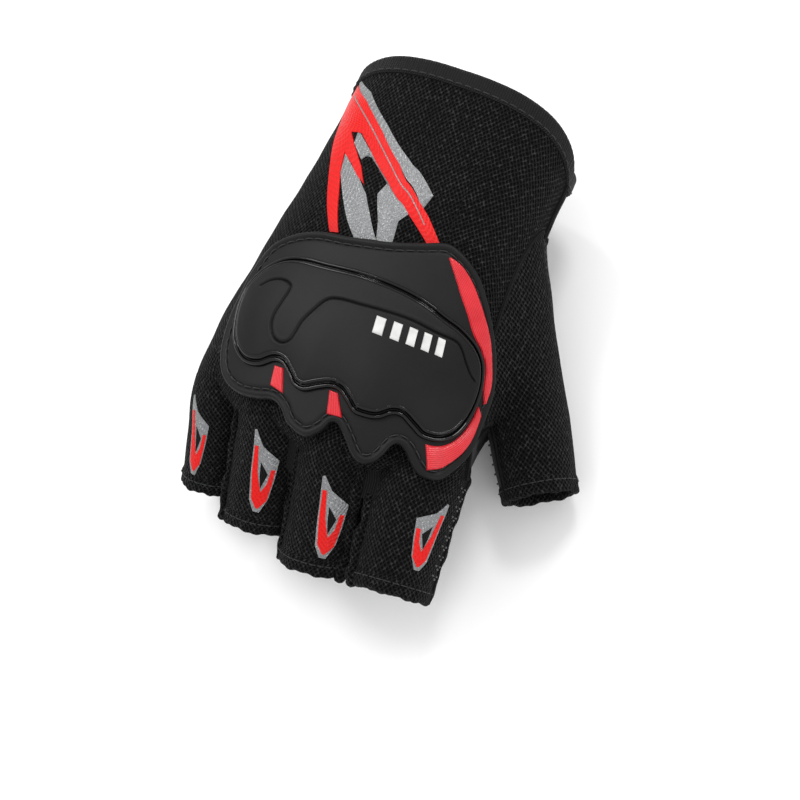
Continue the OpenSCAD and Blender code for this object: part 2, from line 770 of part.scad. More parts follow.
finger_mark_red(RING);  // ring_mark_red
finger_back(LITTLE);  // little_back
finger_palm(LITTLE);  // little_palm
finger_sides(LITTLE);  // little_side
stall_hem(LITTLE);  // little_hem
finger_mark_grey(LITTLE);  // little_mark_grey
finger_mark_red(LITTLE);  // little_mark_red
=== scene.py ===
"""Half-finger riding glove: the visible model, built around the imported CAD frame.

Lengths in the maths below are millimetres in the CAD's frame: Y is minus the distance s from
the wrist. A girth angle runs round the hand: 0 thumb side, 90 back of the hand, 180 little-finger
side, negative angles on the palm. turn is the same thing round one stall.
"""
import math
import bpy
import numpy as np
from mathutils import Matrix, Vector
from mathutils.geometry import delaunay_2d_cdt


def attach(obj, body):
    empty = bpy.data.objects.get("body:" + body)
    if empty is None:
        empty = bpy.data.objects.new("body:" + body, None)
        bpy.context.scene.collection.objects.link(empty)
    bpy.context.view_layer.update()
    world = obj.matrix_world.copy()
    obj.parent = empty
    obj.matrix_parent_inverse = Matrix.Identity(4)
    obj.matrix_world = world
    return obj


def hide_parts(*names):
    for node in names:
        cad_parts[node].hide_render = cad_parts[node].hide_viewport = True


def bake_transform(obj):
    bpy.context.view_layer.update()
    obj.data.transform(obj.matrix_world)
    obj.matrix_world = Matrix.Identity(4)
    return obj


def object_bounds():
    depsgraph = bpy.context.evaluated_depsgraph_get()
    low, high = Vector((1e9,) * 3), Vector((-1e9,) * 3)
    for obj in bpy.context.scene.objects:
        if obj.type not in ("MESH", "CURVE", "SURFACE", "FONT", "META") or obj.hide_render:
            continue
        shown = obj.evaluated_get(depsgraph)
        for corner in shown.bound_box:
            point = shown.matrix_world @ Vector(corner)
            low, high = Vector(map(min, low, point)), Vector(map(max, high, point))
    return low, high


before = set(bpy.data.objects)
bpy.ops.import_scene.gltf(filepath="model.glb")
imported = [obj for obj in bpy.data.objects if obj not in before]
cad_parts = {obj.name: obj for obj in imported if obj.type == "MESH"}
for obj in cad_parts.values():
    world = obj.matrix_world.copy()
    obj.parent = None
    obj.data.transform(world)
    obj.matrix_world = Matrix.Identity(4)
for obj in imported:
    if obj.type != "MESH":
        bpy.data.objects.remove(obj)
cad_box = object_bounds()

MM = 0.001
FABRIC = 1.4

# ---------------------------------------------------------------- camera, stage and light

VIEW_TURN, VIEW_TILT, VIEW_ROLL = 22.0, 10.0, 25.0  # degrees round, towards the wrist, in the frame
VIEW_DISTANCE = 0.70
AIM_FROM_CENTRE = Vector((0.0081, -0.0194, 0.0079))
SENSOR = 36.0
LENS = 110.25


def add_camera():
    low, high = Vector(cad_box[0]), Vector(cad_box[1])
    aim = (low + high) / 2 + AIM_FROM_CENTRE
    turn, tilt, roll = (math.radians(a) for a in (VIEW_TURN, VIEW_TILT, VIEW_ROLL))
    back = Vector((math.sin(turn) * math.cos(tilt), -math.sin(tilt), math.cos(turn) * math.cos(tilt)))
    up = (Vector((0, 1, 0)) - back * back.y).normalized()
    right = (-back).cross(up)
    right, up = (right * math.cos(roll) + up * math.sin(roll),
                 up * math.cos(roll) - right * math.sin(roll))
    data = bpy.data.cameras.new("camera")
    data.lens = LENS
    data.sensor_width = SENSOR
    camera = bpy.data.objects.new("camera", data)
    bpy.context.scene.collection.objects.link(camera)
    rotation = Matrix((right, up, back)).transposed().to_4x4()
    camera.matrix_world = Matrix.Translation(aim + back * VIEW_DISTANCE) @ rotation
    bpy.context.scene.camera = camera
    return aim


def add_light(name, aim, offset, size, power, colour=(1, 1, 1)):
    data = bpy.data.lights.new(name, "AREA")
    data.size = size
    data.energy = power
    data.color = colour
    light = bpy.data.objects.new(name, data)
    bpy.context.scene.collection.objects.link(light)
    place = aim + Vector(offset)
    direction = (aim - place).to_track_quat("-Z", "Y")
    light.matrix_world = Matrix.Translation(place) @ direction.to_matrix().to_4x4()


aim = add_camera()
add_light("key", aim, (-0.45, 0.10, 0.60), 0.24, 1.9)
add_light("fill", aim, (0.55, -0.25, 0.50), 0.4, 1.3)
add_light("top", aim, (0.05, 0.45, 0.55), 0.14, 1.3)
add_light("glint", aim, (-0.30, 0.38, 0.55), 0.07, 0.5)
world = bpy.data.worlds.new("studio")
world.use_nodes = True
world.node_tree.nodes["Background"].inputs["Color"].default_value = (1, 1, 1, 1)
world.node_tree.nodes["Background"].inputs["Strength"].default_value = 1.0
bpy.context.scene.world = world
bpy.context.scene.view_settings.view_transform = "Standard"


def add_floor():
    size = 2.0
    bpy.ops.mesh.primitive_plane_add(size=size, location=(0, 0, cad_box[0][2] - 0.0005))
    floor = bpy.context.object
    floor.name = "floor"
    paint = bpy.data.materials.new("floor")
    paint.use_nodes = True
    shader = paint.node_tree.nodes["Principled BSDF"]
    shader.inputs["Base Color"].default_value = (0.92, 0.92, 0.92, 1)
    shader.inputs["Roughness"].default_value = 0.9
    floor.data.materials.append(paint)


add_floor()

# ---------------------------------------------------------------- materials


class Paint:
    """A node material on its Principled shader, with short calls for the nodes it needs."""

    def __init__(self, name, colour, roughness, **inputs):
        self.material = bpy.data.materials.new(name)
        self.material.use_nodes = True
        self.tree = self.material.node_tree
        self.shader = self.tree.nodes["Principled BSDF"]
        self.set("Base Color", (*colour, 1))
        self.set("Roughness", roughness)
        for key, value in inputs.items():
            self.set(key.replace("_", " "), value)

    def set(self, socket, value):
        self.shader.inputs[socket].default_value = value

    def node(self, kind, **settings):
        node = self.tree.nodes.new(kind)
        for key, value in settings.items():
            if key in node.inputs:
                node.inputs[key].default_value = value
            else:
                setattr(node, key, value)
        return node

    def link(self, source, target):
        self.tree.links.new(source, target)

    def math(self, operation, a, b=0.0, clamp=False):
        node = self.node("ShaderNodeMath", operation=operation, use_clamp=clamp)
        for slot, value in zip(node.inputs, (a, b)):
            if isinstance(value, (int, float)):
                slot.default_value = value
            else:
                self.link(value, slot)
        return node.outputs[0]

    def uv(self):
        """The cloth's own millimetres, across and along."""
        split = self.node("ShaderNodeSeparateXYZ")
        self.link(self.node("ShaderNodeUVMap").outputs["UV"], split.inputs[0])
        return split.outputs["X"], split.outputs["Y"]

    def noise(self, scale, detail=2.0, rough=0.5):
        """Noise whose grain is scale per metre, fixed to the object."""
        node = self.node("ShaderNodeTexNoise", Scale=scale, Detail=detail, Roughness=rough)
        self.link(self.node("ShaderNodeTexCoord").outputs["Object"], node.inputs["Vector"])
        return node.outputs["Fac"]

    def speckle(self, scale):
        node = self.node("ShaderNodeTexVoronoi", Scale=scale)
        self.link(self.node("ShaderNodeTexCoord").outputs["Object"], node.inputs["Vector"])
        return node

    def ramp(self, fac, stops):
        node = self.node("ShaderNodeValToRGB")
        elements = node.color_ramp.elements
        while len(elements) < len(stops):
            elements.new(0.5)
        for element, (place, colour) in zip(elements, stops):
            element.position = place
            element.color = (*colour, 1)
        self.link(fac, node.inputs["Fac"])
        return node.outputs["Color"]

    def colour(self, fac, stops):
        self.link(self.ramp(fac, stops), self.shader.inputs["Base Color"])

    def greys(self, fac, *stops):
        """Colour from a ramp of greys, each given as a place and a value."""
        self.colour(fac, [(place, (value,) * 3) for place, value in stops])

    def roughness(self, fac, low, high):
        node = self.node("ShaderNodeMapRange")
        node.inputs["To Min"].default_value = low
        node.inputs["To Max"].default_value = high
        self.link(fac, node.inputs["Value"])
        self.link(node.outputs["Result"], self.shader.inputs["Roughness"])

    def bump(self, height, distance, strength=1.0):
        node = self.node("ShaderNodeBump", Strength=strength, Distance=distance)
        self.link(height, node.inputs["Height"])
        self.link(node.outputs["Normal"], self.shader.inputs["Normal"])

    def mesh_knit(self, across, along):
        """Height of a knit of crossing threads with holes between: 1 on a thread, 0 in a hole."""
        u, v = self.uv()
        wobble = self.math("MULTIPLY", self.noise(700.0, 1.0), 0.5)
        u = self.math("ADD", self.math("DIVIDE", u, across), wobble)
        v = self.math("DIVIDE", v, along)
        rising = self.math("SINE", self.math("MULTIPLY", self.math("ADD", u, v), math.pi))
        falling = self.math("SINE", self.math("MULTIPLY", self.math("SUBTRACT", u, v), math.pi))
        hole = self.math("ABSOLUTE", self.math("MULTIPLY", rising, falling))
        return self.math("SUBTRACT", 1.0, self.math("POWER", hole, 0.7))

    def ribs(self, pitch, along=False):
        """Height of fine ribs, pitch millimetres apart."""
        axis = self.uv()[1 if along else 0]
        wave = self.math("SINE", self.math("MULTIPLY", axis, 2 * math.pi / pitch))
        return self.math("ADD", self.math("MULTIPLY", wave, 0.5), 0.5)


def airmesh(name, thread=0.022, hole=0.0003, pitch=1.4):
    paint = Paint(name, (0.01, 0.01, 0.01), 0.78, Sheen_Weight=0.02, Sheen_Roughness=0.5,
                  Specular_IOR_Level=0.06)
    knit = paint.mesh_knit(pitch, pitch * 1.25)
    glint_fleck = paint.math("POWER", paint.noise(900.0, 1.0), 3.0)
    shade = paint.math("MULTIPLY", knit, paint.math("ADD", paint.math("MULTIPLY", glint_fleck, 2.2), 0.4))
    # Painted shade and highlight: the colour is near-black in the knit's holes as painted shade, and
    # lighter on the thread tops, where random brighter flecks are painted highlights.
    paint.colour(shade, [(0.15, (hole, hole, hole)), (0.5, (0.35 * thread,) * 3),
                         (0.95, (1.7 * thread, 1.7 * thread, 1.75 * thread))])
    paint.roughness(knit, 0.9, 0.62)
    paint.bump(knit, 0.0007)
    return paint.material


def ribbed(name, pitch, low, high):
    """Fine knit with ribs; its colour runs from low, painted shade in the grooves between the ribs, to
    high on their tops.
    """
    paint = Paint(name, (low, low, low), 0.8, Specular_IOR_Level=0.1)
    rib = paint.ribs(pitch)
    paint.greys(rib, (0.0, low), (1.0, high))
    paint.bump(rib, 0.00015)
    return paint.material


def elastic():
    paint = Paint("elastic", (0.006, 0.006, 0.006), 0.55, Specular_IOR_Level=0.2)
    rib = paint.math("MULTIPLY", paint.ribs(0.8), paint.math("ADD", paint.ribs(0.55, True), 0.6))
    # Colour darker in the grooves between the ribs: painted shade.
    paint.greys(rib, (0.0, 0.001), (1.0, 0.007))
    paint.roughness(rib, 0.75, 0.5)
    paint.bump(rib, 0.0002)
    return paint.material


def suede():
    paint = Paint("suede", (0.01, 0.01, 0.01), 0.85, Sheen_Weight=0.05, Specular_IOR_Level=0.15)
    nap = paint.noise(2600.0, 3.0, 0.7)
    cloud = paint.noise(70.0, 2.0)
    paint.greys(paint.math("MULTIPLY", paint.math("ADD", nap, cloud), 0.5), (0.3, 0.006), (0.75, 0.022))
    paint.bump(nap, 0.0002)
    return paint.material


def rubber():
    paint = Paint("guard_rubber", (0.006, 0.006, 0.006), 0.4, Specular_IOR_Level=0.13)
    grain = paint.noise(5200.0, 2.0)
    cloud = paint.noise(45.0, 3.0)
    paint.greys(cloud, (0.3, 0.0055), (0.7, 0.0085))
    paint.roughness(paint.math("ADD", paint.math("MULTIPLY", grain, 0.5),
                               paint.math("MULTIPLY", cloud, 0.5)), 0.36, 0.5)
    paint.bump(grain, 0.00004)
    return paint.material


def gloss():
    paint = Paint("guard_gloss", (0.002, 0.002, 0.002), 0.08, Specular_IOR_Level=0.3)
    wear = paint.noise(90.0, 3.0)
    paint.greys(wear, (0.3, 0.0008), (0.8, 0.0018))
    paint.roughness(wear, 0.06, 0.11)
    paint.bump(paint.noise(600.0, 2.0), 0.00003)
    return paint.material


def red_insert():
    paint = Paint("insert_red", (0.6, 0.03, 0.04), 0.26, Specular_IOR_Level=0.35)
    line = paint.ribs(0.55)
    # Colour partly from the ribs, darker in their grooves as painted shade, and partly random tone.
    paint.colour(paint.math("ADD", paint.math("MULTIPLY", line, 0.45),
                            paint.math("MULTIPLY", paint.noise(120.0), 0.55)),
                 [(0.2, (0.38, 0.006, 0.012)), (0.8, (0.62, 0.024, 0.034))])
    paint.roughness(line, 0.2, 0.34)
    paint.bump(line, 0.00006)
    return paint.material


def red_print():
    paint = Paint("print_red", (0.6, 0.01, 0.01), 0.38, Specular_IOR_Level=0.18)
    knit = paint.mesh_knit(1.45, 1.8)
    # Colour darker in the knit's holes under the print as painted shade, varied by random tone.
    paint.colour(paint.math("MULTIPLY", knit, paint.math("ADD", paint.noise(300.0), 0.5)),
                 [(0.05, (0.49, 0.003, 0.002)), (0.7, (0.6, 0.005, 0.004))])
    paint.roughness(paint.noise(900.0), 0.25, 0.45)
    paint.bump(knit, 0.00007)
    return paint.material


def grey_print():
    """Reflective film: a grey field whose fine glass-bead sparkle is painted into its colour as bright
    specks, painted glints, with painted shade in the knit's holes.
    """
    paint = Paint("print_grey", (0.33, 0.34, 0.35), 0.4, Metallic=0.25)
    beads = paint.speckle(3600.0)
    split = paint.node("ShaderNodeSeparateColor")
    paint.link(beads.outputs["Color"], split.inputs[0])
    knit = paint.mesh_knit(1.45, 1.8)
    shade = paint.math("ADD", paint.math("MULTIPLY", split.outputs[0], 0.7),
                       paint.math("MULTIPLY", knit, 0.3))
    # Colour: painted glints where the bead cells are brightest, and painted shade in the knit's holes.
    paint.colour(shade, [(0.0, (0.13, 0.133, 0.136)), (0.8, (0.2, 0.203, 0.207)),
                         (0.97, (0.45, 0.46, 0.47))])
    paint.roughness(split.outputs[1], 0.2, 0.6)
    paint.bump(knit, 0.00012)
    return paint.material


def white_print():
    paint = Paint("badge_white", (0.5, 0.5, 0.49), 0.35)
    paint.colour(paint.noise(400.0), [(0.3, (0.46, 0.46, 0.45)), (0.7, (0.56, 0.56, 0.55))])
    paint.bump(paint.noise(3000.0), 0.00003)
    return paint.material


def thread():
    paint = Paint("thread", (0.01, 0.01, 0.01), 0.6, Sheen_Weight=0.05)
    twist = paint.noise(6000.0, 1.0)
    paint.greys(twist, (0.2, 0.002), (0.8, 0.007))
    paint.bump(twist, 0.0001)
    return paint.material


def silicone():
    paint = Paint("silicone", (0.03, 0.03, 0.032), 0.25, Coat_Weight=0.3)
    paint.colour(paint.noise(200.0), [(0.3, (0.02, 0.02, 0.021)), (0.7, (0.05, 0.05, 0.052))])
    paint.bump(paint.noise(2500.0), 0.00003)
    return paint.material


def hook_loop():
    paint = Paint("hook_loop", (0.02, 0.02, 0.02), 0.9, Sheen_Weight=0.5)
    tufts = paint.speckle(1400.0).outputs["Distance"]
    paint.greys(tufts, (0.0, 0.05), (0.6, 0.008))
    paint.bump(tufts, 0.0005)
    return paint.material


AIRMESH = airmesh("airmesh")
KNIT = ribbed("stretch_knit", 0.7, 0.002, 0.009)
ELASTIC = elastic()
SUEDE = suede()
LINING = ribbed("lining", 0.6, 0.008, 0.028)
RUBBER = rubber()
GLOSS = gloss()
INSERT = red_insert()
RED = red_print()
GREY = grey_print()
WHITE = white_print()
THREAD = thread()
SILICONE = silicone()
HOOKS = hook_loop()

# ---------------------------------------------------------------- the glove's surfaces

STATION_STEP = 15
STATIONS = np.array([
    (-36, 36, 20.5, -19.5), (-37, 36, 20, -19.5), (-38.5, 37, 19.5, -19),
    (-41, 39.5, 19.5, -18), (-43.5, 42, 19.5, -16.5), (-46.5, 44.5, 19, -14.5),
    (-47.5, 46, 17.5, -13), (-47, 46.5, 15.5, -12.5), (-45, 46, 13, -12),
])
SECTION_POWER = 0.8
ARCH_TOP = 9.0  # x of the top of the knuckle arch
LITTLE_DROP, LITTLE_REACH = 5.5, 44  # how far it drops at this distance from its top
THUMB_DROP, THUMB_REACH = 2, 37
KNUCKLE_START = 80.0
BLEND_POWER = 1.3  # how late the hand's section gives way to the stalls' tubes
CUFF_BOW = 12.0
PALM_START = 36.0
HEM = 4.0
THUMB_HOLE = dict(middle=58.5, half=38.5, back=24.0, palm=52.0)


class Stall:
    """One finger of the glove: where its tube starts, and which way it runs."""

    def __init__(self, name, centre, radius, tip, lean, pitch, length, share=None):
        self.name = name
        self.root = centre[1]
        self.centre = np.array((centre[0], -centre[1], centre[2]))
        self.radius, self.tip, self.length, self.share = radius, tip, length, share
        lean, pitch = math.radians(lean), math.radians(pitch)
        self.axis = np.array((math.sin(lean) * math.cos(pitch),
                              -math.cos(lean) * math.cos(pitch), -math.sin(pitch)))
        self.across = np.array((math.cos(lean), math.sin(lean), 0.0))
        self.up = np.cross(self.axis, self.across)

    def tube(self, turn, along, lift=0.0):
        """Point of the tube, along mm past its root (negative is inside the hand)."""
        turn, along, lift = floats(turn, along, lift)
        angle = np.radians(turn)
        share = np.clip(along / self.length, 0, 1)
        radius = self.radius + (self.tip - self.radius) * share + lift
        ring = np.cos(angle)[..., None] * self.across + np.sin(angle)[..., None] * self.up
        return self.centre + self.axis * along[..., None] + radius[..., None] * ring

    def on_axis(self, along):
        return Vector(self.centre + self.axis * along) * MM


FINGERS = [
    Stall("index", (34.4, 105, 0.5), 12.4, 11, 6.5, 8, 29.5, (0, 68)),
    Stall("middle", (9.4, 107, 2.5), 11.4, 11.4, 5, 25, 29.5, (68, 92)),
    Stall("ring", (-13.6, 105, 0), 11.1, 11.1, 4.5, 30, 26.5, (92, 120)),
    Stall("little", (-35.4, 101, -5), 9.6, 9, 4.5, 33, 25.5, (120, 180)),
]
THUMB = Stall("thumb", (50, 71.3, -16.7), 12.2, 11, 32.5, 9.9, 22)


def mix(a, b, k):
    return a + (b - a) * k


def unit(vectors):
    return vectors / np.linalg.norm(vectors, axis=-1, keepdims=True)


def run_of(path):
    """Distance along a path at each of its points."""
    return np.concatenate([[0], np.cumsum(np.linalg.norm(np.diff(path, axis=0), axis=1))])


def floats(*values):
    """Values as arrays of floats of one shape."""
    return np.broadcast_arrays(*(np.asarray(v, float) for v in values))


def edge_drop(gap, radius):
    """How far a rounded edge falls away, 1 at the very edge and 0 past its radius."""
    return 1 - np.sqrt(1 - np.clip(1 - gap / radius, 0, 1) ** 2)


def ease(k):
    k = np.clip(k, 0, 1)
    return k * k * (3 - 2 * k)


def spline(table, k):
    """Smooth curve through the rows of a table, at fractional row k."""
    table = np.asarray(table, float)
    last = len(table) - 1
    i = np.clip(np.floor(k), 0, last - 1).astype(int)
    f = (k - i)[..., None]
    a, b, c, d = (table[np.clip(i + step, 0, last)] for step in (-1, 0, 1, 2))
    return b + 0.5 * f * (c - a + f * (2 * a - 5 * b + 4 * c - d + f * (3 * (b - c) + d - a)))


def hand_point(angle, s, lift=0.0):
    """Point of the smooth hand at a girth angle and a distance from the wrist."""
    angle, s, lift = floats(angle, s, lift)
    little, thumb, back, palm = np.moveaxis(spline(STATIONS, s / STATION_STEP), -1, 0)
    angle = np.radians(angle)
    c, e = (np.sign(t) * np.abs(t) ** SECTION_POWER for t in (np.cos(angle), np.sin(angle)))
    x = (little + thumb) / 2 + ((thumb - little) / 2 + lift) * c
    z = np.where(e >= 0, back + lift, lift - palm) * e
    off = x - ARCH_TOP
    fall = np.where(off < 0, LITTLE_DROP * (off / LITTLE_REACH) ** 2,
                    THUMB_DROP * (off / THUMB_REACH) ** 2)
    z = z - fall * np.clip((s - 30) / 70, 0, 1)
    return np.stack([x, -s, z], -1)


def hole_edge(s, reach):
    """Girth angle of the thumb opening's edge."""
    k = (s - THUMB_HOLE["middle"]) / THUMB_HOLE["half"]
    return reach * np.sqrt(np.clip(1 - k * k, 0, None))


def skin(finger, turn, s, lift=0.0):
    """Point of the glove's outside: turn 0 to 180 is the back of a finger's share, 180 to 360 its
    palm. Past the finger's root, s runs on along its stall."""
    turn, s, lift = floats(turn, s, lift)
    back = turn <= 180
    k = np.where(back, turn / 180, (360 - turn) / 180)
    low, high = finger.share
    if finger.name == "index":
        low = hole_edge(s, np.where(back, THUMB_HOLE["back"], THUMB_HOLE["palm"]))
    angle = mix(low, high, k) * np.where(back, 1, -1)
    w = ease((s - KNUCKLE_START) / (finger.root - KNUCKLE_START)) ** BLEND_POWER
    on_hand = hand_point(angle, np.minimum(s, finger.root), lift)
    return mix(on_hand, finger.tube(turn, s - finger.root, lift), w[..., None])


# Folds of the cloth: ends of each fold in mm, its depth and its half width
CREASES = [
    ((46, -80, 2), (57, -72, -6), 0.9, 1.6),
    ((48, -86, -6), (58, -79, -10), 0.7, 1.4),
]


def relief(p):
    """How far the cloth stands out at a point of the smooth glove: soft unevenness and folds."""
    x, y, z = p[..., 0], p[..., 1], p[..., 2]
    lift = 0.16 * np.sin(x / 7.1 + 1.3 * np.sin(y / 11.0)) * np.sin(y / 8.3 + z / 6.0)
    lift = lift + 0.10 * np.sin(x / 3.3 + y / 4.7 + 2.0) * np.sin(y / 3.9 - x / 6.1 + z / 5.0)
    for start, end, depth, width in CREASES:
        start, end = np.array(start, float), np.array(end, float)
        run = end - start
        k = np.clip(((p - start) @ run) / (run @ run), 0, 1)
        away = np.linalg.norm(p - (start + k[..., None] * run), axis=-1) / width
        fade = np.sin(np.pi * np.clip(k, 0.02, 0.98))
        lift = lift + depth * fade * (0.6 * np.exp(-((away - 1.6) ** 2)) - np.exp(-away * away))
    return lift


def cloth(finger, turn, s, lift=0.0):
    """Point of the finished cloth outside, with its folds."""
    return skin(finger, turn, s, lift + relief(skin(finger, turn, s)))


def wrist_cloth(angle, s, lift=0.0):
    return hand_point(angle, s, lift + relief(hand_point(angle, s)))


def cuff_edge(angle):
    """Distance from the wrist line of the cuff's edge."""
    return -CUFF_BOW * np.clip(np.sin(np.radians(angle)), 0, None) ** 0.7


# ---------------------------------------------------------------- mesh building


def make_object(name, points, faces, uvs, materials, material_index=None, sharp=50.0):
    """Mesh object from points in mm, quads or triangles, and one uv per face corner."""
    mesh = bpy.data.meshes.new(name)
    sizes = np.array([len(f) for f in faces])
    corners = np.concatenate([np.asarray(f, int) for f in faces]) if len(faces) else np.zeros(0, int)
    mesh.vertices.add(len(points))
    mesh.vertices.foreach_set("co", (np.asarray(points, float) * MM).ravel())
    mesh.loops.add(len(corners))
    mesh.loops.foreach_set("vertex_index", corners)
    mesh.polygons.add(len(sizes))
    mesh.polygons.foreach_set("loop_start", np.concatenate([[0], np.cumsum(sizes)[:-1]]))
    mesh.uv_layers.new(name="UVMap").data.foreach_set("uv", np.asarray(uvs, float).ravel())
    for material in materials:
        mesh.materials.append(material)
    if material_index is not None:
        mesh.polygons.foreach_set("material_index", material_index)
    mesh.update(calc_edges=True)
    mesh.validate()
    mesh.polygons.foreach_set("use_smooth", np.ones(len(mesh.polygons), bool))
    mesh.set_sharp_from_angle(angle=math.radians(sharp))
    piece = bpy.data.objects.new(name, mesh)
    bpy.context.scene.collection.objects.link(piece)
    return piece


def faces_away(grid, under):
    """Whether a grid's own normal points away from the points under it."""
    r = min(grid.shape[0] // 2, grid.shape[0] - 2)
    c = min(grid.shape[1] // 2, grid.shape[1] - 2)
    normal = np.cross(grid[r, c + 1] - grid[r, c], grid[r + 1, c] - grid[r, c])
    return normal @ (grid[r, c] - under[r, c]) > 0


def cloth_uv(grid, wrap=False):
    """Distances in mm across and along a grid, so that a weave keeps its size on it."""
    across = np.linalg.norm(np.diff(grid, axis=1), axis=-1)
    if wrap:
        across = np.concatenate([across, np.linalg.norm(grid[:, :1] - grid[:, -1:], axis=-1)], 1)
    u = np.concatenate([np.zeros((len(grid), 1)), np.cumsum(across, 1)], 1)
    u -= u[:, u.shape[1] // 2][:, None]
    along = np.linalg.norm(np.diff(grid, axis=0), axis=-1)
    v = np.concatenate([np.zeros((1, grid.shape[1])), np.cumsum(along, 0)], 0)
    if wrap:
        v = np.concatenate([v, v[:, :1]], 1)
    return np.stack([u, np.broadcast_to(v, u.shape)], -1)


def quads(grid):
    """The four corners of every cell of a grid, going round each cell."""
    return np.stack([grid[:-1, :-1], grid[:-1, 1:], grid[1:, 1:], grid[1:, :-1]], 2)


def slab(name, top, under, materials, wrap=False, uv=None, sharp=50.0):
    """Closed piece between a grid of points and the same grid under it. The second material, if
    there is one, is on the under side."""
    rows, cols = top.shape[:2]
    index = np.arange(rows * cols).reshape(rows, cols)
    uv = cloth_uv(top, wrap) if uv is None else uv
    if wrap:
        index = np.concatenate([index, index[:, :1]], 1)
    count = rows * cols
    corner_uv = quads(uv).reshape(-1, 4, 2)
    outer = quads(index).reshape(-1, 4)
    inner = outer[:, ::-1] + count
    faces, uvs = [outer, inner], [corner_uv, corner_uv[:, ::-1]]
    kinds = [np.zeros(len(outer), int), np.full(len(inner), len(materials) - 1)]
    edges = [(index[0], uv[0], 1), (index[-1], uv[-1], -1)]
    if not wrap:
        edges += [(index[:, -1], uv[:, -1], 1), (index[:, 0], uv[:, 0], -1)]
    for line, line_uv, way in edges:
        quad = np.stack([line[:-1], line[:-1] + count, line[1:] + count, line[1:]], 1)
        quad_uv = np.stack([line_uv[:-1], line_uv[:-1], line_uv[1:], line_uv[1:]], 1)
        faces.append(quad[:, ::way])
        uvs.append(quad_uv[:, ::way])
        kinds.append(np.zeros(len(quad), int))
    faces, uvs, kinds = np.concatenate(faces), np.concatenate(uvs), np.concatenate(kinds)
    if not faces_away(top, under):
        faces, uvs = faces[:, ::-1], uvs[:, ::-1]
    points = np.concatenate([top.reshape(-1, 3), under.reshape(-1, 3)])
    return make_object(name, points, faces, uvs, materials, kinds, sharp)


ANY_WAY = (0.31, 0.52, 0.79)  # a direction that no path runs in
CAP = [(0.35, 0.94), (0.75, 0.66), (1.0, 0.05)]  # a round end's reaches and widths, in radii


def tubes(name, paths, radii, material, sides=8, closed=False):
    """Round tubes along paths, all in one piece. Each path is an array of points; radii are one
    number, or one per point. Open tubes have rounded ends."""
    points, faces, uvs = [], [], []
    base = 0
    for path, radius in zip(paths, radii):
        path = np.asarray(path, float)
        radius = np.broadcast_to(np.asarray(radius, float), len(path)).copy()
        if closed:
            tangent = np.roll(path, -1, 0) - np.roll(path, 1, 0)
        else:
            tangent = np.gradient(path, axis=0)
            first, last = unit(tangent[0]), unit(tangent[-1])
            head = [path[0] - first * radius[0] * reach for reach, width in reversed(CAP)]
            tail = [path[-1] + last * radius[-1] * reach for reach, width in CAP]
            ends = [width for reach, width in CAP]
            path = np.concatenate([head, path, tail])
            radius = np.concatenate([radius[0] * np.array(ends[::-1]), radius,
                                     radius[-1] * np.array(ends)])
            tangent = np.gradient(path, axis=0)
        tangent = unit(tangent)
        side = np.cross(tangent[0], ANY_WAY)
        ring_angle = np.arange(sides) * 2 * math.pi / sides
        rings = []
        for centre, forward, size in zip(path, tangent, radius):
            side = unit(side - forward * (side @ forward))
            lift = np.cross(forward, side)
            rings.append(centre + size * (np.cos(ring_angle)[:, None] * side
                                          + np.sin(ring_angle)[:, None] * lift))
        rows = len(rings)
        index = base + np.arange(rows * sides).reshape(rows, sides)
        index = np.concatenate([index, index[:, :1]], 1)
        if closed:
            index = np.concatenate([index, index[:1]], 0)
        faces += [tuple(q) for q in quads(index).reshape(-1, 4)]
        run = run_of(path)
        v = np.append(run, run[-1] + 1)[:len(index)]
        u = np.arange(sides + 1) * radius.mean() * 2 * math.pi / sides
        grid = np.stack(np.meshgrid(u, v), -1)
        uvs.append(quads(grid).reshape(-1, 2))
        if not closed:
            faces += [tuple(index[0, :-1][::-1]), tuple(index[-1, :-1])]
            uvs.append(np.zeros((2 * sides, 2)))
        points.append(np.concatenate(rings))
        base += rows * sides
    return make_object(name, np.concatenate(points), faces, np.concatenate(uvs), [material])


def evenly(path, step, closed=False):
    """The path again, as points about step mm apart."""
    path = np.asarray(path, float)
    if closed:
        path = np.concatenate([path, path[:1]])
    run = run_of(path)
    count = max(2, int(round(run[-1] / step)))
    where = np.linspace(0, run[-1], count + 1)
    if closed:
        where = where[:-1]
    return np.stack([np.interp(where, run, path[:, k]) for k in range(path.shape[1])], -1)


def stitch_paths(path, lift, length=1.9, space=0.9, sink=0.25):
    """Short arched threads along a path; lift is the outward direction at each of its points."""
    both = evenly(np.concatenate([path, lift], 1), (length + space) / 7)
    threads = []
    count = int(round(7 * length / (length + space)))
    for start in range(0, len(both) - count - 1, 7):
        part = both[start:start + count + 1]
        out = unit(part[:, 3:])
        arch = np.sin(np.linspace(0, math.pi, len(part)))[:, None]
        threads.append(part[:, :3] + out * sink * (arch * 1.1 - 0.6))
    return threads


def finish_piece(piece, body, slot, nodes=(), bend=None):
    """Puts a piece on its body; given bend, it only bakes the piece's place into its mesh."""
    if bend is None:
        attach(piece, body)
    else:
        bend.on_axis(-7)
        bend.on_axis(7)
        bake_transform(piece)
    if nodes:
        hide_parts(*nodes)
    return piece


def stitches(name, path, lift, body, spacing, size, nodes=()):
    """A row of stitches; spacing is a thread's length, the space after it and its sink."""
    threads = stitch_paths(path, lift, *spacing)
    finish_piece(tubes(name, threads, [size] * len(threads), THREAD, 6), body, "thread", nodes)


def seam(name, path, width, body, bend=None, closed=False):
    """A covered seam: one round strand of knit."""
    piece = tubes(name, [path], [width], KNIT, 10, closed)
    finish_piece(piece, body, "fourchette", bend=bend)


# ---------------------------------------------------------------- back and palm of the hand

STALL_START = 8.0  # the stall pieces start this far before their roots, in mm


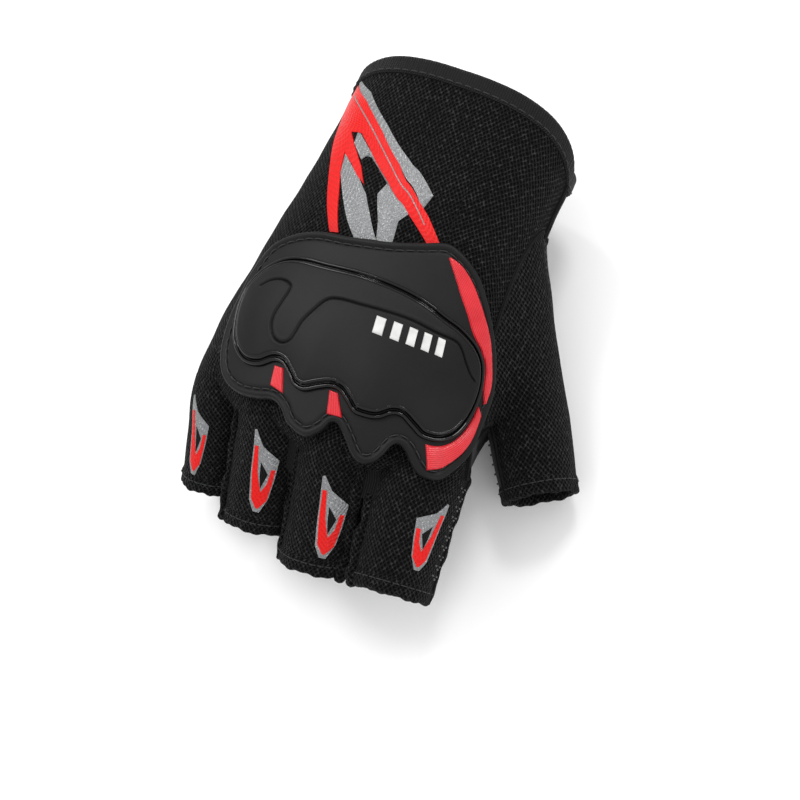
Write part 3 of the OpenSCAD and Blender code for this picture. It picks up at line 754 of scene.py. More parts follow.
def hand_grid(turns, start, rows, stop=STALL_START - 1.0):
    """Grids of finger, turn and s over all four fingers' shares of the back or the palm."""
    columns = [(finger, turn) for finger in reversed(FINGERS) for turn in turns]
    k = np.linspace(0, 1, rows)[:, None]
    outer, inner = [], []
    for finger, turn in columns:
        low, high = finger.share
        share = mix(low, high, (turn if turn <= 180 else 360 - turn) / 180)
        first = start(share if turn <= 180 else -share)
        s = mix(first, finger.root - stop, k[:, 0])
        outer.append(cloth(finger, turn, s))
        inner.append(cloth(finger, turn, s, -FABRIC))
    return np.stack(outer, 1), np.stack(inner, 1)


def back_of_hand():
    turns = np.concatenate([[179.5, 176], np.linspace(172, 8, 36), [4, 0.5]])
    top, under = hand_grid(turns, lambda angle: cuff_edge(angle) + 0.4, 130)
    finish_piece(slab("back_of_hand", top, under, [AIRMESH, LINING]), "hand", "airmesh",
                 ["back_panel"])


def palm_of_hand():
    turns = np.concatenate([[180.5, 184], np.linspace(188, 352, 24), [356, 359.5]])
    top, under = hand_grid(turns, lambda angle: PALM_START, 80)
    finish_piece(slab("palm_of_hand", top, under, [SUEDE, LINING]), "hand", "palm_suede",
                 ["palm_panel"])


def wrist_palm():
    """The palm side of the wrist: two mesh pieces and the stretch gusset between them."""
    s = np.linspace(0.4, PALM_START + 0.4, 46)[:, None]

    def piece(name, start, end, material, slot, low=-FABRIC, high=0.0):
        k = np.linspace(0, 1, 40)[None, :]
        first = start(s)
        angle = mix(first, end, k)
        finish_piece(slab(name, wrist_cloth(angle, s, high), wrist_cloth(angle, s, low),
                          [material, LINING]), "hand", slot, [name])

    palm_edge = THUMB_HOLE["palm"]
    piece("wrist_palm_thumb_side", lambda s: -0.7 - hole_edge(s, palm_edge), -79, AIRMESH, "airmesh")
    piece("wrist_palm_little_side", lambda s: -101 + 0 * s, -179.3, AIRMESH, "airmesh")
    piece("wrist_gusset", lambda s: -78 + 0 * s, -102, ELASTIC, "elastic", -FABRIC, -0.35)


back_of_hand()
palm_of_hand()
wrist_palm()

# ---------------------------------------------------------------- wrist binding


def wrist_binding():
    """Elastic folded over the wrist edge, with a row of stitches along its lower edge."""
    angle = np.linspace(-180, 180, 361)[:-1]
    width, rise = 5.0, 0.75
    fold = []
    for k in np.linspace(0, 1, 9):
        fold.append((width * (1 - k) + 0.6 * k, rise * (0.35 + 0.65 * ease(k * 6))))
    for k in np.linspace(0.08, 0.92, 10):
        a = math.pi * k
        fold.append((0.6 - (FABRIC / 2 + rise) * math.sin(a) * 0.95,
                     -FABRIC / 2 + (FABRIC / 2 + rise) * math.cos(a)))
    for k in np.linspace(0, 1, 9):
        fold.append((0.6 * (1 - k) + width * k, -FABRIC - rise * (0.35 + 0.65 * ease((1 - k) * 6))))
    fold = np.array(fold)
    ripple = 0.07 * np.sin(np.radians(angle) * 95) * np.sin(np.radians(angle) * 4 + 1)

    def ring(offset, lift):
        s = cuff_edge(angle) + offset
        return hand_point(angle, s, lift + relief(hand_point(angle, s)) + ripple)

    top = np.stack([ring(o, l) for o, l in fold])
    under = np.stack([ring(max(o, 0.9), np.clip(l, -FABRIC - 0.1, 0.1)) for o, l in fold])
    finish_piece(slab("wrist_binding", top, under, [ELASTIC], wrap=True), "hand", "elastic",
                 ["wrist_binding"])
    s = cuff_edge(angle) + width - 0.9
    path = hand_point(angle, s, 0.72 + relief(hand_point(angle, s)))
    lift = hand_point(angle, s, 2.0) - hand_point(angle, s, 0.0)
    stitches("binding_stitches", path, lift, "hand", (2.2, 0.8, 0.22), 0.17)


wrist_binding()

# ---------------------------------------------------------------- finger stalls

BACK_ARCS = {"index": (-20, 150), "middle": (30, 150), "ring": (30, 150), "little": (30, 200)}
PALM_ARCS = {"index": (210, 340), "middle": (210, 330), "ring": (210, 330), "little": (200, 330)}
SIDE_ARCS = {"index": [(150, 210)], "middle": [(-30, 30), (150, 210)],
             "ring": [(-30, 30), (150, 210)], "little": [(-30, 30)]}


# Heights and widths of the seam ridges that differ from the rest
RIDGES = {("index", 150): (1.5, 1.75), ("middle", 30): (1.5, 1.75), ("middle", 150): (0.7, 0.8),
          ("ring", 30): (0.7, 0.8), ("middle", 210): (0.55, 0.6)}


def stall_skin(finger, turn, s, lift=0.0):
    """The stall's cloth; turns below 0 or above 180 both reach the palm half."""
    turn = np.mod(turn, 360)
    return cloth(finger, turn, s, lift)


def stall_panel(finger, name, arc, material, slot, nodes, rows=60, bulge=0.0):
    arc_mm = math.radians(arc[1] - arc[0]) * finger.radius
    turn = np.linspace(arc[0], arc[1], max(8, int(arc_mm / 0.7)))[None, :]
    s = np.linspace(finger.root - STALL_START, finger.root + finger.length - HEM + 0.6, rows)[:, None]
    across = (turn - arc[0]) / (arc[1] - arc[0])
    puff = bulge * np.sin(np.pi * across) ** 0.7
    top = stall_skin(finger, turn, s, 0.08 + puff)
    under = stall_skin(finger, turn, s, 0.08 - FABRIC)
    piece = slab(name, top, under, [material, LINING])
    return finish_piece(piece, finger.name, slot, nodes, bend=finger)


def stall_hem(finger, tube_of, nodes, waves=7):
    """Folded hem: doubled cloth with a rolled, slightly wavy edge, and its stitches."""
    turn = np.linspace(0, 360, 145)[:-1]
    wave = 0.18 * np.sin(np.radians(turn) * waves + finger.root) + 0.12 * np.sin(
        np.radians(turn) * (2 * waves + 3))
    profile = [(-HEM - 0.8, 0.1), (-HEM, 0.35), (-HEM + 0.5, 0.45), (-2.2, 0.3), (-1.0, 0.42),
               (-0.35, 0.3), (0.05, -0.2), (0.15, -0.9), (-0.1, -1.5), (-0.6, -1.75), (-2, -1.8),
               (-HEM, -1.8), (-HEM - 0.6, -1.6)]
    smooth = spline(np.array(profile), np.linspace(0, len(profile) - 1, 40))
    top = np.stack([tube_of(turn, finger.length + a + 1.2 * wave * (1 + a / HEM), l + wave * 0.5)
                    for a, l in smooth])
    under = np.stack([tube_of(turn, finger.length + min(a, -0.9), -0.7 + 0 * wave)
                      for a, l in smooth])
    piece = slab(finger.name + "_hem", top, under, [AIRMESH], wrap=True)
    finish_piece(piece, finger.name, "elastic", nodes)
    path = tube_of(turn, finger.length - HEM + 0.7, 0.52 + wave * 0.5)
    lift = tube_of(turn, finger.length - HEM, 2.0) - tube_of(turn, finger.length - HEM, 0.0)
    stitches(finger.name + "_hem_stitches", path, lift, finger.name, (1.7, 0.8, 0.2), 0.15)


def seam_ridge(finger, name, turn, height, width, start, material, slot):
    """Folded seam allowance along a stall: a narrow uneven ridge."""
    s = np.linspace(finger.root - start, finger.root + finger.length - 0.6, 90)
    wander = 1.6 * np.sin(s / 5.0 + turn) + 0.9 * np.sin(s / 2.1)
    swell = 1 + 0.18 * np.sin(s / 1.7 + turn) + 0.12 * np.sin(s / 0.9)
    path = stall_skin(finger, turn + wander * 1.2, s, height * (0.35 + 0.2 * np.sin(s / 3.7 + turn)))
    piece = tubes(name, [path], [width * swell * np.clip((s - s[0]) / 6 + 0.25, 0, 1)], material, 10)
    return finish_piece(piece, finger.name, slot, bend=finger)


def finger_stall(finger):
    name = finger.name
    side_node = name + ("_side" if len(SIDE_ARCS[name]) == 1 else "_sides")
    stall_panel(finger, name + "_back", BACK_ARCS[name], AIRMESH, "airmesh", [name + "_back"])
    stall_panel(finger, name + "_palm", PALM_ARCS[name], SUEDE, "palm_suede", [name + "_palm"])
    for count, arc in enumerate(SIDE_ARCS[name]):
        inside = (arc[0] - 2, arc[1] + 2)
        stall_panel(finger, f"{name}_fourchette_{count + 1}", inside, KNIT, "fourchette",
                    [side_node], bulge=-0.35)
    stall_hem(finger, lambda turn, along, lift: stall_skin(finger, turn, finger.root + along, lift),
              [name + "_hem"])
    seams = {a % 360 for a in (*BACK_ARCS[name], *PALM_ARCS[name])}
    for count, turn in enumerate(sorted(seams)):
        on_back = turn in (30, 150)
        height, width = RIDGES.get((name, turn), (1.5, 1.15) if on_back else (0.55, 0.8))
        kind = (6.0, AIRMESH, "airmesh") if on_back else (13.0, KNIT, "fourchette")
        seam_ridge(finger, f"{name}_seam_{count + 1}", turn, height, width, *kind)


for finger in FINGERS:
    finger_stall(finger)


def web(left, right):
    """Fold of cloth that closes the crotch between two fingers."""
    rows = []
    for k in np.linspace(0, 1, 14):
        s_left, s_right = (f.root - 14 + 19 * k for f in (left, right))
        a = stall_skin(left, np.linspace(138, 216, 17), s_left, -0.7)
        b = stall_skin(right, np.linspace(42, -36, 17), s_right, -0.7)
        rows.append(np.stack([mix(a, b, j) for j in np.linspace(0, 1, 7)]))
    rows = np.array(rows)  # along, across, down
    ring = np.concatenate([rows[:, :, 0], rows[:, -1, 1:], rows[:, ::-1, -1][:, 1:],
                           rows[:, 0, ::-1][:, 1:-1]], 1)
    centre = ring.mean(1, keepdims=True)
    piece = slab(f"web_{left.name}_{right.name}", ring, mix(centre, ring, 0.25), [KNIT], wrap=True)
    finish_piece(piece, "hand", "fourchette")


def knuckle_bridge(left, right):
    """The back's cloth carried over the start of the fold between two fingers."""
    rows_top, rows_under = [], []
    for k in np.linspace(0, 1, 30):
        s_left, s_right = (f.root - 22 + 22 * k for f in (left, right))
        deep = ease((k - 0.62) / 0.38)
        turn_left, turn_right = mix(112, 150, deep), mix(68, 30, deep)
        for rows, lift in ((rows_top, 0.12), (rows_under, -0.9)):
            a = stall_skin(left, turn_left, s_left, lift - 0.9 * deep)
            b = stall_skin(right, turn_right, s_right, lift - 0.9 * deep)
            j = np.linspace(0, 1, 17)[:, None]
            sag = 0.9 * np.sin(np.pi * j) * np.array((0, 0, 1.0))
            rows.append(mix(a, b, j) + sag * (0.5 - deep))
    piece = slab(f"knuckle_bridge_{left.name}_{right.name}", np.array(rows_top),
                 np.array(rows_under), [AIRMESH, LINING])
    finish_piece(piece, "hand", "airmesh")


for first, second in zip(FINGERS, FINGERS[1:]):
    web(first, second)
    knuckle_bridge(first, second)

# ---------------------------------------------------------------- thumb


def thumb_edge(turn, lift=0.0):
    """Edge of the opening for the thumb, where its sleeve is sewn in."""
    s = THUMB_HOLE["middle"] - THUMB_HOLE["half"] * 0.985 * np.cos(np.radians(turn))
    upper = skin(FINGERS[0], 0.0, s, lift)
    lower = skin(FINGERS[0], 360.0, s, lift)
    return np.where((np.sin(np.radians(turn)) >= 0)[..., None], upper, lower)


def thumb_point(turn, along, lift=0.0):
    """The thumb's outside: along runs from -1 at the seam to 0 at the bend, then in mm."""
    turn, along, lift = floats(turn, along, lift)
    stall = THUMB.tube(turn, np.maximum(along, 0), lift)
    start = thumb_edge(turn, lift)
    root = THUMB.tube(turn, 0 * along, lift)
    pull = np.maximum(2, 0.5 * ((root - start) @ THUMB.axis))
    middle = root - THUMB.axis * pull[..., None]
    k = np.clip(along + 1, 0, 1)[..., None]
    sleeve = mix(mix(start, middle, k), mix(middle, root, k), k)
    return np.where((along > 0)[..., None], stall, sleeve)


def thumb_cloth(turn, along, lift=0.0):
    return thumb_point(turn, along, lift + relief(thumb_point(turn, along)))


THUMB_BACK, THUMB_FRONT = (-60, 140), (140, 300)


def thumb_stall():
    along = np.concatenate([np.linspace(-1, 0, 60), np.linspace(0, THUMB.length - HEM + 0.6, 32)[1:]])
    along = along[:, None]
    parts = [("thumb_back", THUMB_BACK, AIRMESH, "airmesh",
              ["thumb_back", "thumb_sleeve_back", "thumb_sleeve_palm"]),
             ("thumb_front", THUMB_FRONT, SUEDE, "palm_suede", ["thumb_front"])]
    for name, arc, material, slot, nodes in parts:
        turn = np.linspace(arc[0], arc[1], 76)[None, :]
        top = thumb_cloth(turn, along, 0.05)
        under = thumb_cloth(turn, along, 0.05 - FABRIC)
        down = (top - THUMB.centre) @ THUMB.axis
        out = np.linalg.norm(top - THUMB.centre - down[..., None] * THUMB.axis, axis=-1)
        round_mm = np.radians(turn - turn.mean()) * out.mean(1, keepdims=True)
        piece = slab(name, top, under, [material, LINING], uv=np.stack([round_mm, down], -1))
        finish_piece(piece, "thumb", slot, nodes, bend=THUMB)
    stall_hem(THUMB, thumb_cloth, ["thumb_hem"], waves=6)
    line = np.concatenate([np.linspace(-1, 0, 50), np.linspace(0, THUMB.length - 0.6, 30)[1:]])
    for count, turn in enumerate(THUMB_BACK):
        seam(f"thumb_seam_{count + 1}", thumb_cloth(turn, line, 0.2), 0.65, "thumb", bend=THUMB)
    turn = np.linspace(0, 360, 181)[:-1]
    seam("thumb_set_in_seam", thumb_edge(turn, 0.05), 0.7, "hand", closed=True)


thumb_stall()

# ---------------------------------------------------------------- seams down the hand's sides


def side_seams():
    for name, angle, start, end in (("little_side_seam", 180.2, 4.5, 92.0),
                                    ("thumb_side_seam", -0.2, 4.5, 21.0)):
        s = np.linspace(start, end, 120)
        swell = 1 + 0.12 * np.sin(s / 1.3)
        path = wrist_cloth(angle, s, 0.1)
        piece = tubes(name, [path], [0.85 * swell], KNIT, 10)
        finish_piece(piece, "hand", "thread", ["side_seams"])


side_seams()

# ---------------------------------------------------------------- knuckle guard

PAD_BASE, PAD_TOP = 1.1, 2.4
FLANGE_BASE, FLANGE_TOP = 2.5, 4.4
FLANGE_OUTLINE = [
    (132.5, 64), (130, 57), (125, 53), (116, 49.5), (107, 47.5), (97, 46.5), (87, 44), (77, 41),
    (68, 38.5), (62, 39), (55, 41), (48, 44), (41, 48.5), (34, 54), (27, 60), (22, 66),
    (19.5, 72), (20, 79), (22, 85), (26, 91.5), (31, 96.5), (36, 100.5), (41, 102), (46, 102),
    (51, 100), (55, 97.5), (58, 96.5), (60.5, 97.5), (62.5, 101), (65, 104), (69, 105.5),
    (73, 104.5), (77, 101), (80.5, 98), (82.5, 98), (84.5, 101.5), (88, 104.5), (91.5, 103),
    (94.5, 99.5), (98, 98), (103, 99), (110, 99.5), (117, 98), (123, 94.5), (128, 88),
    (130.5, 80), (131.5, 71),
]
SHELL_OUTLINE = [
    (89.5, 55), (98.5, 56), (107.5, 56.5), (115, 58), (121, 61), (125, 64.5), (127.5, 69),
    (127, 74.5), (125, 79.5), (121.5, 85), (116.5, 89), (111, 91), (105.5, 90.5), (101, 88),
    (98, 88), (95.5, 90), (93, 92.5), (90.5, 93), (88.5, 91), (86, 89.5), (83.5, 89.5),
    (80.5, 91.5), (77.5, 93.5), (73, 93.5), (69, 92.5), (65, 90), (61.5, 89.5), (57, 91),
    (52, 92.5), (46, 92), (40.5, 90), (36, 87), (32, 82.5), (30, 77.5), (30, 71.5), (33, 66),
    (38.5, 62.5), (44.5, 60.5), (51, 59), (58, 58), (65.5, 56.5), (73, 55.5), (81, 55),
]
GROOVE = [
    (117.5, 68.5), (114.5, 66.3), (110.5, 65.2), (107, 65.5), (105.2, 67), (105.5, 71.5),
    (106, 75.5), (105.2, 79), (103, 81.7), (100, 82.5), (97.8, 81.2), (97, 78.5), (96.5, 75),
    (95, 71), (93, 66.7), (90.5, 65.2), (86, 64.6), (80, 64), (70.5, 63.5), (60, 64), (51, 64),
    (47, 65.8), (44, 68.3), (40, 70.8), (36, 72),
]
# Girth angles laid out flat on the knuckles, in mm from the top towards the thumb
FLAT_ANGLES = np.linspace(-10, 190, 801)
FLAT_MM = run_of(hand_point(FLAT_ANGLES, 75.0, 4.0))
FLAT_MM = np.interp(90, FLAT_ANGLES, FLAT_MM) - FLAT_MM


def flat(points):
    """Girth angles and distances from the wrist, laid out flat in mm."""
    points = np.asarray(points, float)
    return np.stack([np.interp(points[..., 0], FLAT_ANGLES, FLAT_MM), points[..., 1]], -1)


def round_hand(points, lift):
    """Flat mm points back on the hand, lifted."""
    angle = np.interp(points[..., 0], FLAT_MM[::-1], FLAT_ANGLES[::-1])
    over_index = 1.4 * ease((62 - angle) / 20) * ease((points[..., 1] - 80) / 12)
    return hand_point(angle, points[..., 1], lift + over_index)


def closed_curve(points, step):
    """Smooth closed curve through points, as points about step mm apart."""
    points = np.asarray(points, float)
    ring = np.concatenate([points[-1:], points, points[:2]])
    k = np.linspace(0, len(points), len(points) * 24 + 1)[:-1] + 1
    return evenly(spline(ring, k), step, closed=True)


def distance_to(points, curve, closed=True):
    """Distance from each flat point to a polyline."""
    start = curve if closed else curve[:-1]
    end = np.roll(curve, -1, 0) if closed else curve[1:]
    run = end - start
    length = (run * run).sum(1)
    best = np.full(len(points), np.inf)
    for a, r, l in zip(start, run, length):
        k = np.clip(((points - a) @ r) / l, 0, 1)
        gap = points - a - k[:, None] * r
        best = np.minimum(best, (gap * gap).sum(1))
    return np.sqrt(best)


def inside(points, curve):
    """Whether each flat point lies inside a closed curve."""
    x, y = points[:, 0], points[:, 1]
    crossing = np.zeros(len(points), bool)
    for (ax, ay), (bx, by) in zip(curve, np.roll(curve, -1, 0)):
        if ay == by:
            continue
        hit = ((ay > y) != (by > y)) & (x < (bx - ax) * (y - ay) / (by - ay) + ax)
        crossing ^= hit
    return crossing


def left_of(forward):
    """Unit vectors a quarter turn to the left of flat directions."""
    return unit(np.stack([-forward[:, 1], forward[:, 0]], 1))


def inset(curve, depth):
    """A closed curve moved inwards by depth mm."""
    normal = left_of(np.roll(curve, -1, 0) - np.roll(curve, 1, 0))
    area = (curve[:, 0] * np.roll(curve[:, 1], -1) - np.roll(curve[:, 0], -1) * curve[:, 1]).sum()
    return curve + normal * depth * np.sign(area)


def fill_outline(curve, spacing, rings=(), guides=()):
    """Triangles that fill a closed flat curve: its edge, rings just inside it, points along
    guide lines, and an even field of points elsewhere."""
    extra = [inset(curve, depth) for depth in rings]
    extra = [ring[distance_to(ring, curve) > depth * 0.8] for ring, depth in zip(extra, rings)]
    low, high = curve.min(0), curve.max(0)
    columns = np.arange(low[0], high[0], spacing)
    lines = np.arange(low[1], high[1], spacing * 0.87)
    field = np.array([(x + (spacing / 2 if k % 2 else 0), y)
                      for k, y in enumerate(lines) for x in columns])
    near = max(rings, default=0) + spacing * 0.6
    field = field[inside(field, curve)]
    field = field[distance_to(field, curve) > near]
    for guide in guides:
        path = evenly(guide, spacing * 0.7)
        normal = left_of(np.gradient(path, axis=0))
        field = field[distance_to(field, path, False) > 1.0]
        offsets = (-0.8, -0.5, -0.3, -0.15, 0, 0.15, 0.3, 0.5, 0.8)
        strips = np.concatenate([path + normal * offset for offset in offsets])
        extra.append(strips[inside(strips, curve) & (distance_to(strips, curve) > near)])
    points = np.concatenate([curve, *extra, field])
    rim = [(k, (k + 1) % len(curve)) for k in range(len(curve))]
    made = delaunay_2d_cdt([Vector(p) for p in points], rim, [], 1, 1e-5)
    return np.array([tuple(v) for v in made[0]]), [tuple(f) for f in made[2]]


def outline_piece(name, curve, height, base, material, spacing, rings=(), guides=(), sharp=55.0):
    """Closed piece on the hand inside a flat curve: height gives its top's lift from the flat
    points and their distance to the edge, and base is the lift of its under side."""
    points, triangles = fill_outline(curve, spacing, rings, guides)
    edge_gap = distance_to(points, curve)
    top = round_hand(points, height(points, edge_gap))
    under = round_hand(points, np.full(len(points), base))
    count = len(points)
    flipped = [(a + count, c + count, b + count) for a, b, c in triangles]
    used = {}
    for tri in triangles:
        for a, b in zip(tri, tri[1:] + tri[:1]):
            used[(a, b)] = 1
    walls = [(a, b, b + count, a + count) for a, b in used if (b, a) not in used]
    a, b, c = triangles[len(triangles) // 2]
    normal = np.cross(top[b] - top[a], top[c] - top[a])
    upright = normal @ (top[a] - under[a]) > 0
    walls = [w[::-1] for w in walls]
    faces = list(triangles) + flipped + walls
    if not upright:
        faces = [f[::-1] for f in faces]
    both = np.concatenate([points, points])
    uvs = np.concatenate([both[list(f)] for f in faces])
    return make_object(name, np.concatenate([top, under]), faces, uvs, [material], sharp=sharp)


flange_curve = closed_curve(flat(FLANGE_OUTLINE), 0.7)
shell_curve = closed_curve(flat(SHELL_OUTLINE), 0.5)
groove_line = evenly(spline(flat(GROOVE), np.linspace(0, len(GROOVE) - 1, 200)), 0.5)
SHELL_INSET, SHELL_RISE = 2.3, 1.75
shell_top_curve = evenly(inset(shell_curve, SHELL_INSET), 0.5, closed=True)


def knuckle_swell(points):
    """Soft rise of the guard over each of the four knuckles."""
    centres = flat([(49, 79), (75, 81), (92, 80), (114, 77)])
    return sum(np.exp(-(((points - c) / (8.0, 10.0)) ** 2).sum(1)) for c in centres)


def flange_height(points, gap):
    """The flange's top: rounded edge, raised lip and the groove inside it; the same everywhere
    round the guard, so points isn't used."""
    edge = 0.8 * edge_drop(gap, 0.8)
    lip = 0.30 * ease(gap / 0.6) * (1 - ease((gap - 1.3) / 0.7))
    groove = 0.40 * np.exp(-(((gap - 2.5) / 0.42) ** 2))
    return FLANGE_TOP - 0.15 - edge + lip - groove


def shell_height(points, gap):
    crown = 0.55 * (1 - np.exp(-gap / 5.0)) + 0.3 * knuckle_swell(points)
    roll = 0.5 * edge_drop(gap, 0.7)
    line = distance_to(points, groove_line, False)
    carved = 0.58 * np.exp(-((line / 0.3) ** 2)) - 0.06 * np.exp(-(((line - 0.8) / 0.4) ** 2))
    return FLANGE_TOP + SHELL_RISE + crown - roll - carved


def guard_body():
    piece = outline_piece("guard_flange", flange_curve, flange_height, FLANGE_BASE, RUBBER, 1.1,
                          (0.12, 0.3, 0.5, 0.8, 1.1, 1.4, 1.7, 2.0, 2.3, 2.6, 2.9, 3.3, 3.9))
    finish_piece(piece, "hand", "guard_rubber", ["guard_flange"])
    piece = outline_piece("guard_shell", shell_top_curve, shell_height, FLANGE_TOP + 0.3, RUBBER,
                          0.55, (0.1, 0.22, 0.36, 0.52, 0.7, 1.0), [groove_line])
    finish_piece(piece, "hand", "guard_rubber", ["guard_shell"])


def guard_rim():
    """Glossy bead round the shell, and the flank that climbs from it to the shell's top."""
    profile = np.array([
        (0.0, -0.3), (0.0, 0.35), (0.15, 0.8), (0.45, 1.12), (0.8, 1.12), (1.1, 0.85), (1.35, 0.6),
        (1.5, 0.62), (1.65, 0.95), (1.85, 1.45), (2.1, 1.72), (2.35, 1.78), (2.55, 1.7),
        (2.7, 1.3)])
    path = spline(profile, np.linspace(0, len(profile) - 1, 40))
    rings = []
    for depth, rise in path:
        rings.append(round_hand(inset(shell_curve, depth), FLANGE_TOP + rise))
    top = np.stack(rings)
    under = np.stack([round_hand(inset(shell_curve, np.clip(depth, 0.3, 2.3)),
                                 FLANGE_TOP - 0.25 + 0.1 * min(rise, 1)) for depth, rise in path])
    piece = slab("guard_rim", top, under, [GLOSS], wrap=True)
    finish_piece(piece, "hand", "guard_gloss", ["guard_rim"])


def guard_stitches():
    line = inset(flange_curve, 2.5)
    lift = round_hand(line, 6.0) - round_hand(line, 4.0)
    stitches("guard_stitching", round_hand(line, FLANGE_TOP - 0.22), lift, "hand", (2.1, 1.1, 0.28),
             0.2, ["guard_stitching"])


def between(left, right, cols):
    """Grid of points from one edge to the other, a row for each pair of their points."""
    return mix(left[:, None], right[:, None], np.linspace(0, 1, cols)[None, :, None])


def smooth_band(edges, rows, cols):
    """Grid of flat points between two edges given as girth angles and distances."""
    return between(*(spline(flat(edge), np.linspace(0, len(edge) - 1, rows)) for edge in edges), cols)


def insert_piece(name, edges, node, rows=70, cols=22):
    """Raised coloured insert with a rounded edge."""
    grid = smooth_band(edges, rows, cols)
    a = np.linspace(0, 1, rows)[:, None]
    c = np.linspace(0, 1, cols)[None, :]
    width = np.linalg.norm(grid[:, -1] - grid[:, 0], axis=1)[:, None]
    length = np.linalg.norm(np.diff(grid[:, cols // 2], axis=0), axis=1).sum()
    gap = np.minimum(np.minimum(c, 1 - c) * width, np.minimum(a, 1 - a) * length)
    rise = 0.62 * (1 - edge_drop(gap, 0.7)) + 0.12 * np.sin(np.pi * c)
    top = round_hand(grid, FLANGE_TOP - 0.15 + rise)
    under = round_hand(grid, FLANGE_TOP - 0.5)
    finish_piece(slab(name, top, under, [INSERT]), "hand", "insert_red", [node])


CRESCENT = [
    [(64.5, 42), (58.5, 43), (51.5, 46), (45, 50), (39, 54), (33, 58.5), (28, 64), (24, 70),
     (24.5, 75.5)],
    [(65, 42.5), (59.5, 47), (54, 51.5), (48.5, 55.5), (43.5, 59.3), (36.3, 62.8), (31, 66.5),
     (28.7, 72), (25.2, 76)],
]
CORNER = [
    [(44.5, 100), (39, 98), (35.5, 95.5), (32, 92.5), (29, 89), (27, 86), (25.5, 82.5), (25, 79.5)],
    [(49, 93.6), (45, 93), (40.5, 91.4), (36.2, 88.6), (32.2, 84.8), (30, 81.6), (29.2, 79.3),
     (29, 77.2)],
]
WEDGES = [
    [[(100.5, 88.8), (99.5, 94.5)], [(97.5, 88.8), (95, 95.5)]],
    [[(86, 90), (84.5, 96.5)], [(83.5, 90), (80, 96)]],
]


def guard_badge():
    """Five plain slanted bars in place of a word."""
    for count in range(5):
        a, s = 80.5 - 5.6 * count, 66 - 0.25 * count
        edges = [[(a, s + 5), (a - 3.2, s + 5)], [(a + 0.6, s), (a - 2.6, s)]]
        grid = smooth_band(edges, 14, 14)
        points = grid.reshape(-1, 2)
        gap = distance_to(points, shell_top_curve)
        level = shell_height(points, gap).reshape(14, 14)
        a, c = np.linspace(0, 1, 14)[:, None], np.linspace(0, 1, 14)[None, :]
        near = np.minimum(np.minimum(c, 1 - c), np.minimum(a, 1 - a)) * 4.2
        rise = 0.32 * (1 - edge_drop(near, 0.4))
        piece = slab(f"guard_badge_{count + 1}", round_hand(grid, level + rise),
                     round_hand(grid, level - 0.15), [WHITE])
        finish_piece(piece, "hand", "badge_white", ["guard_badge"])


def puff(piece, limit):
    """Blows a pad up a little as a cloth under pressure; no point moves more than limit metres."""
    mesh = piece.data
    rest = np.empty(len(mesh.vertices) * 3)
    mesh.vertices.foreach_get("co", rest)
    group = piece.vertex_groups.new(name="held")
    edge = {v for e in mesh.edges if e.use_edge_sharp for v in e.vertices}
    group.add(list(edge), 1.0, "REPLACE")
    cloth_mod = piece.modifiers.new("puff", "CLOTH")
    settings = cloth_mod.settings
    settings.vertex_group_mass = "held"
    settings.use_pressure = True
    settings.uniform_pressure_force = 4.0
    settings.tension_stiffness = 60.0
    settings.bending_stiffness = 8.0
    settings.effector_weights.gravity = 0.0
    cloth_mod.point_cache.frame_start = 1
    cloth_mod.point_cache.frame_end = 16
    scene = bpy.context.scene
    for frame_number in range(1, 17):
        scene.frame_set(frame_number)
    seen = piece.evaluated_get(bpy.context.evaluated_depsgraph_get())
    blown = np.empty_like(rest)
    seen.data.vertices.foreach_get("co", blown)
    piece.modifiers.remove(cloth_mod)
    piece.vertex_groups.remove(group)
    scene.frame_set(1)
    move = (blown - rest).reshape(-1, 3)
    size = np.maximum(np.linalg.norm(move, axis=1), 1e-9)
    move *= (np.minimum(size, limit) / size)[:, None]
    mesh.vertices.foreach_set("co", rest + move.ravel())
    mesh.update()


def knuckle_pad():
    """Foam pad under the guard, puffed a little by cloth simulation."""
    curve = evenly(inset(flange_curve, 0.7), 1.2, closed=True)

    def height(points, gap):  # the same all round, so points isn't used
        return PAD_TOP - 0.7 * edge_drop(gap, 0.9)

    piece = outline_piece("knuckle_pad", curve, height, PAD_BASE, SUEDE, 2.0, (0.25, 0.5, 0.9))
    puff(piece, 0.00025)
    finish_piece(piece, "hand", "foam", ["knuckle_pad"])


guard_body()
guard_rim()
guard_stitches()
insert_piece("guard_crescent", CRESCENT, "guard_crescent", 110, 26)
insert_piece("guard_corner", CORNER, "guard_corner", 80, 26)
for count, edges in enumerate(WEDGES):
    insert_piece(f"guard_wedge_{count + 1}", edges, "guard_wedges", 26, 18)
guard_badge()
knuckle_pad()

# ---------------------------------------------------------------- prints


def straight(table, rows):
    """Points along the straight lines through a table's rows."""
    table = np.asarray(table, float)
    k = np.linspace(0, len(table) - 1, rows)
    return np.stack([np.interp(k, np.arange(len(table)), table[:, c]) for c in (0, 1)], -1)


def print_band(name, edges, material, slot, nodes, film):
    """Film printed on the wrist between two edges."""
    grid = between(*(straight(edge, 121) for edge in edges), 16)
    top = wrist_cloth(grid[..., 0], grid[..., 1], film)
    under = wrist_cloth(grid[..., 0], grid[..., 1], -0.1)
    finish_piece(slab(name, top, under, [material]), "hand", slot, nodes)


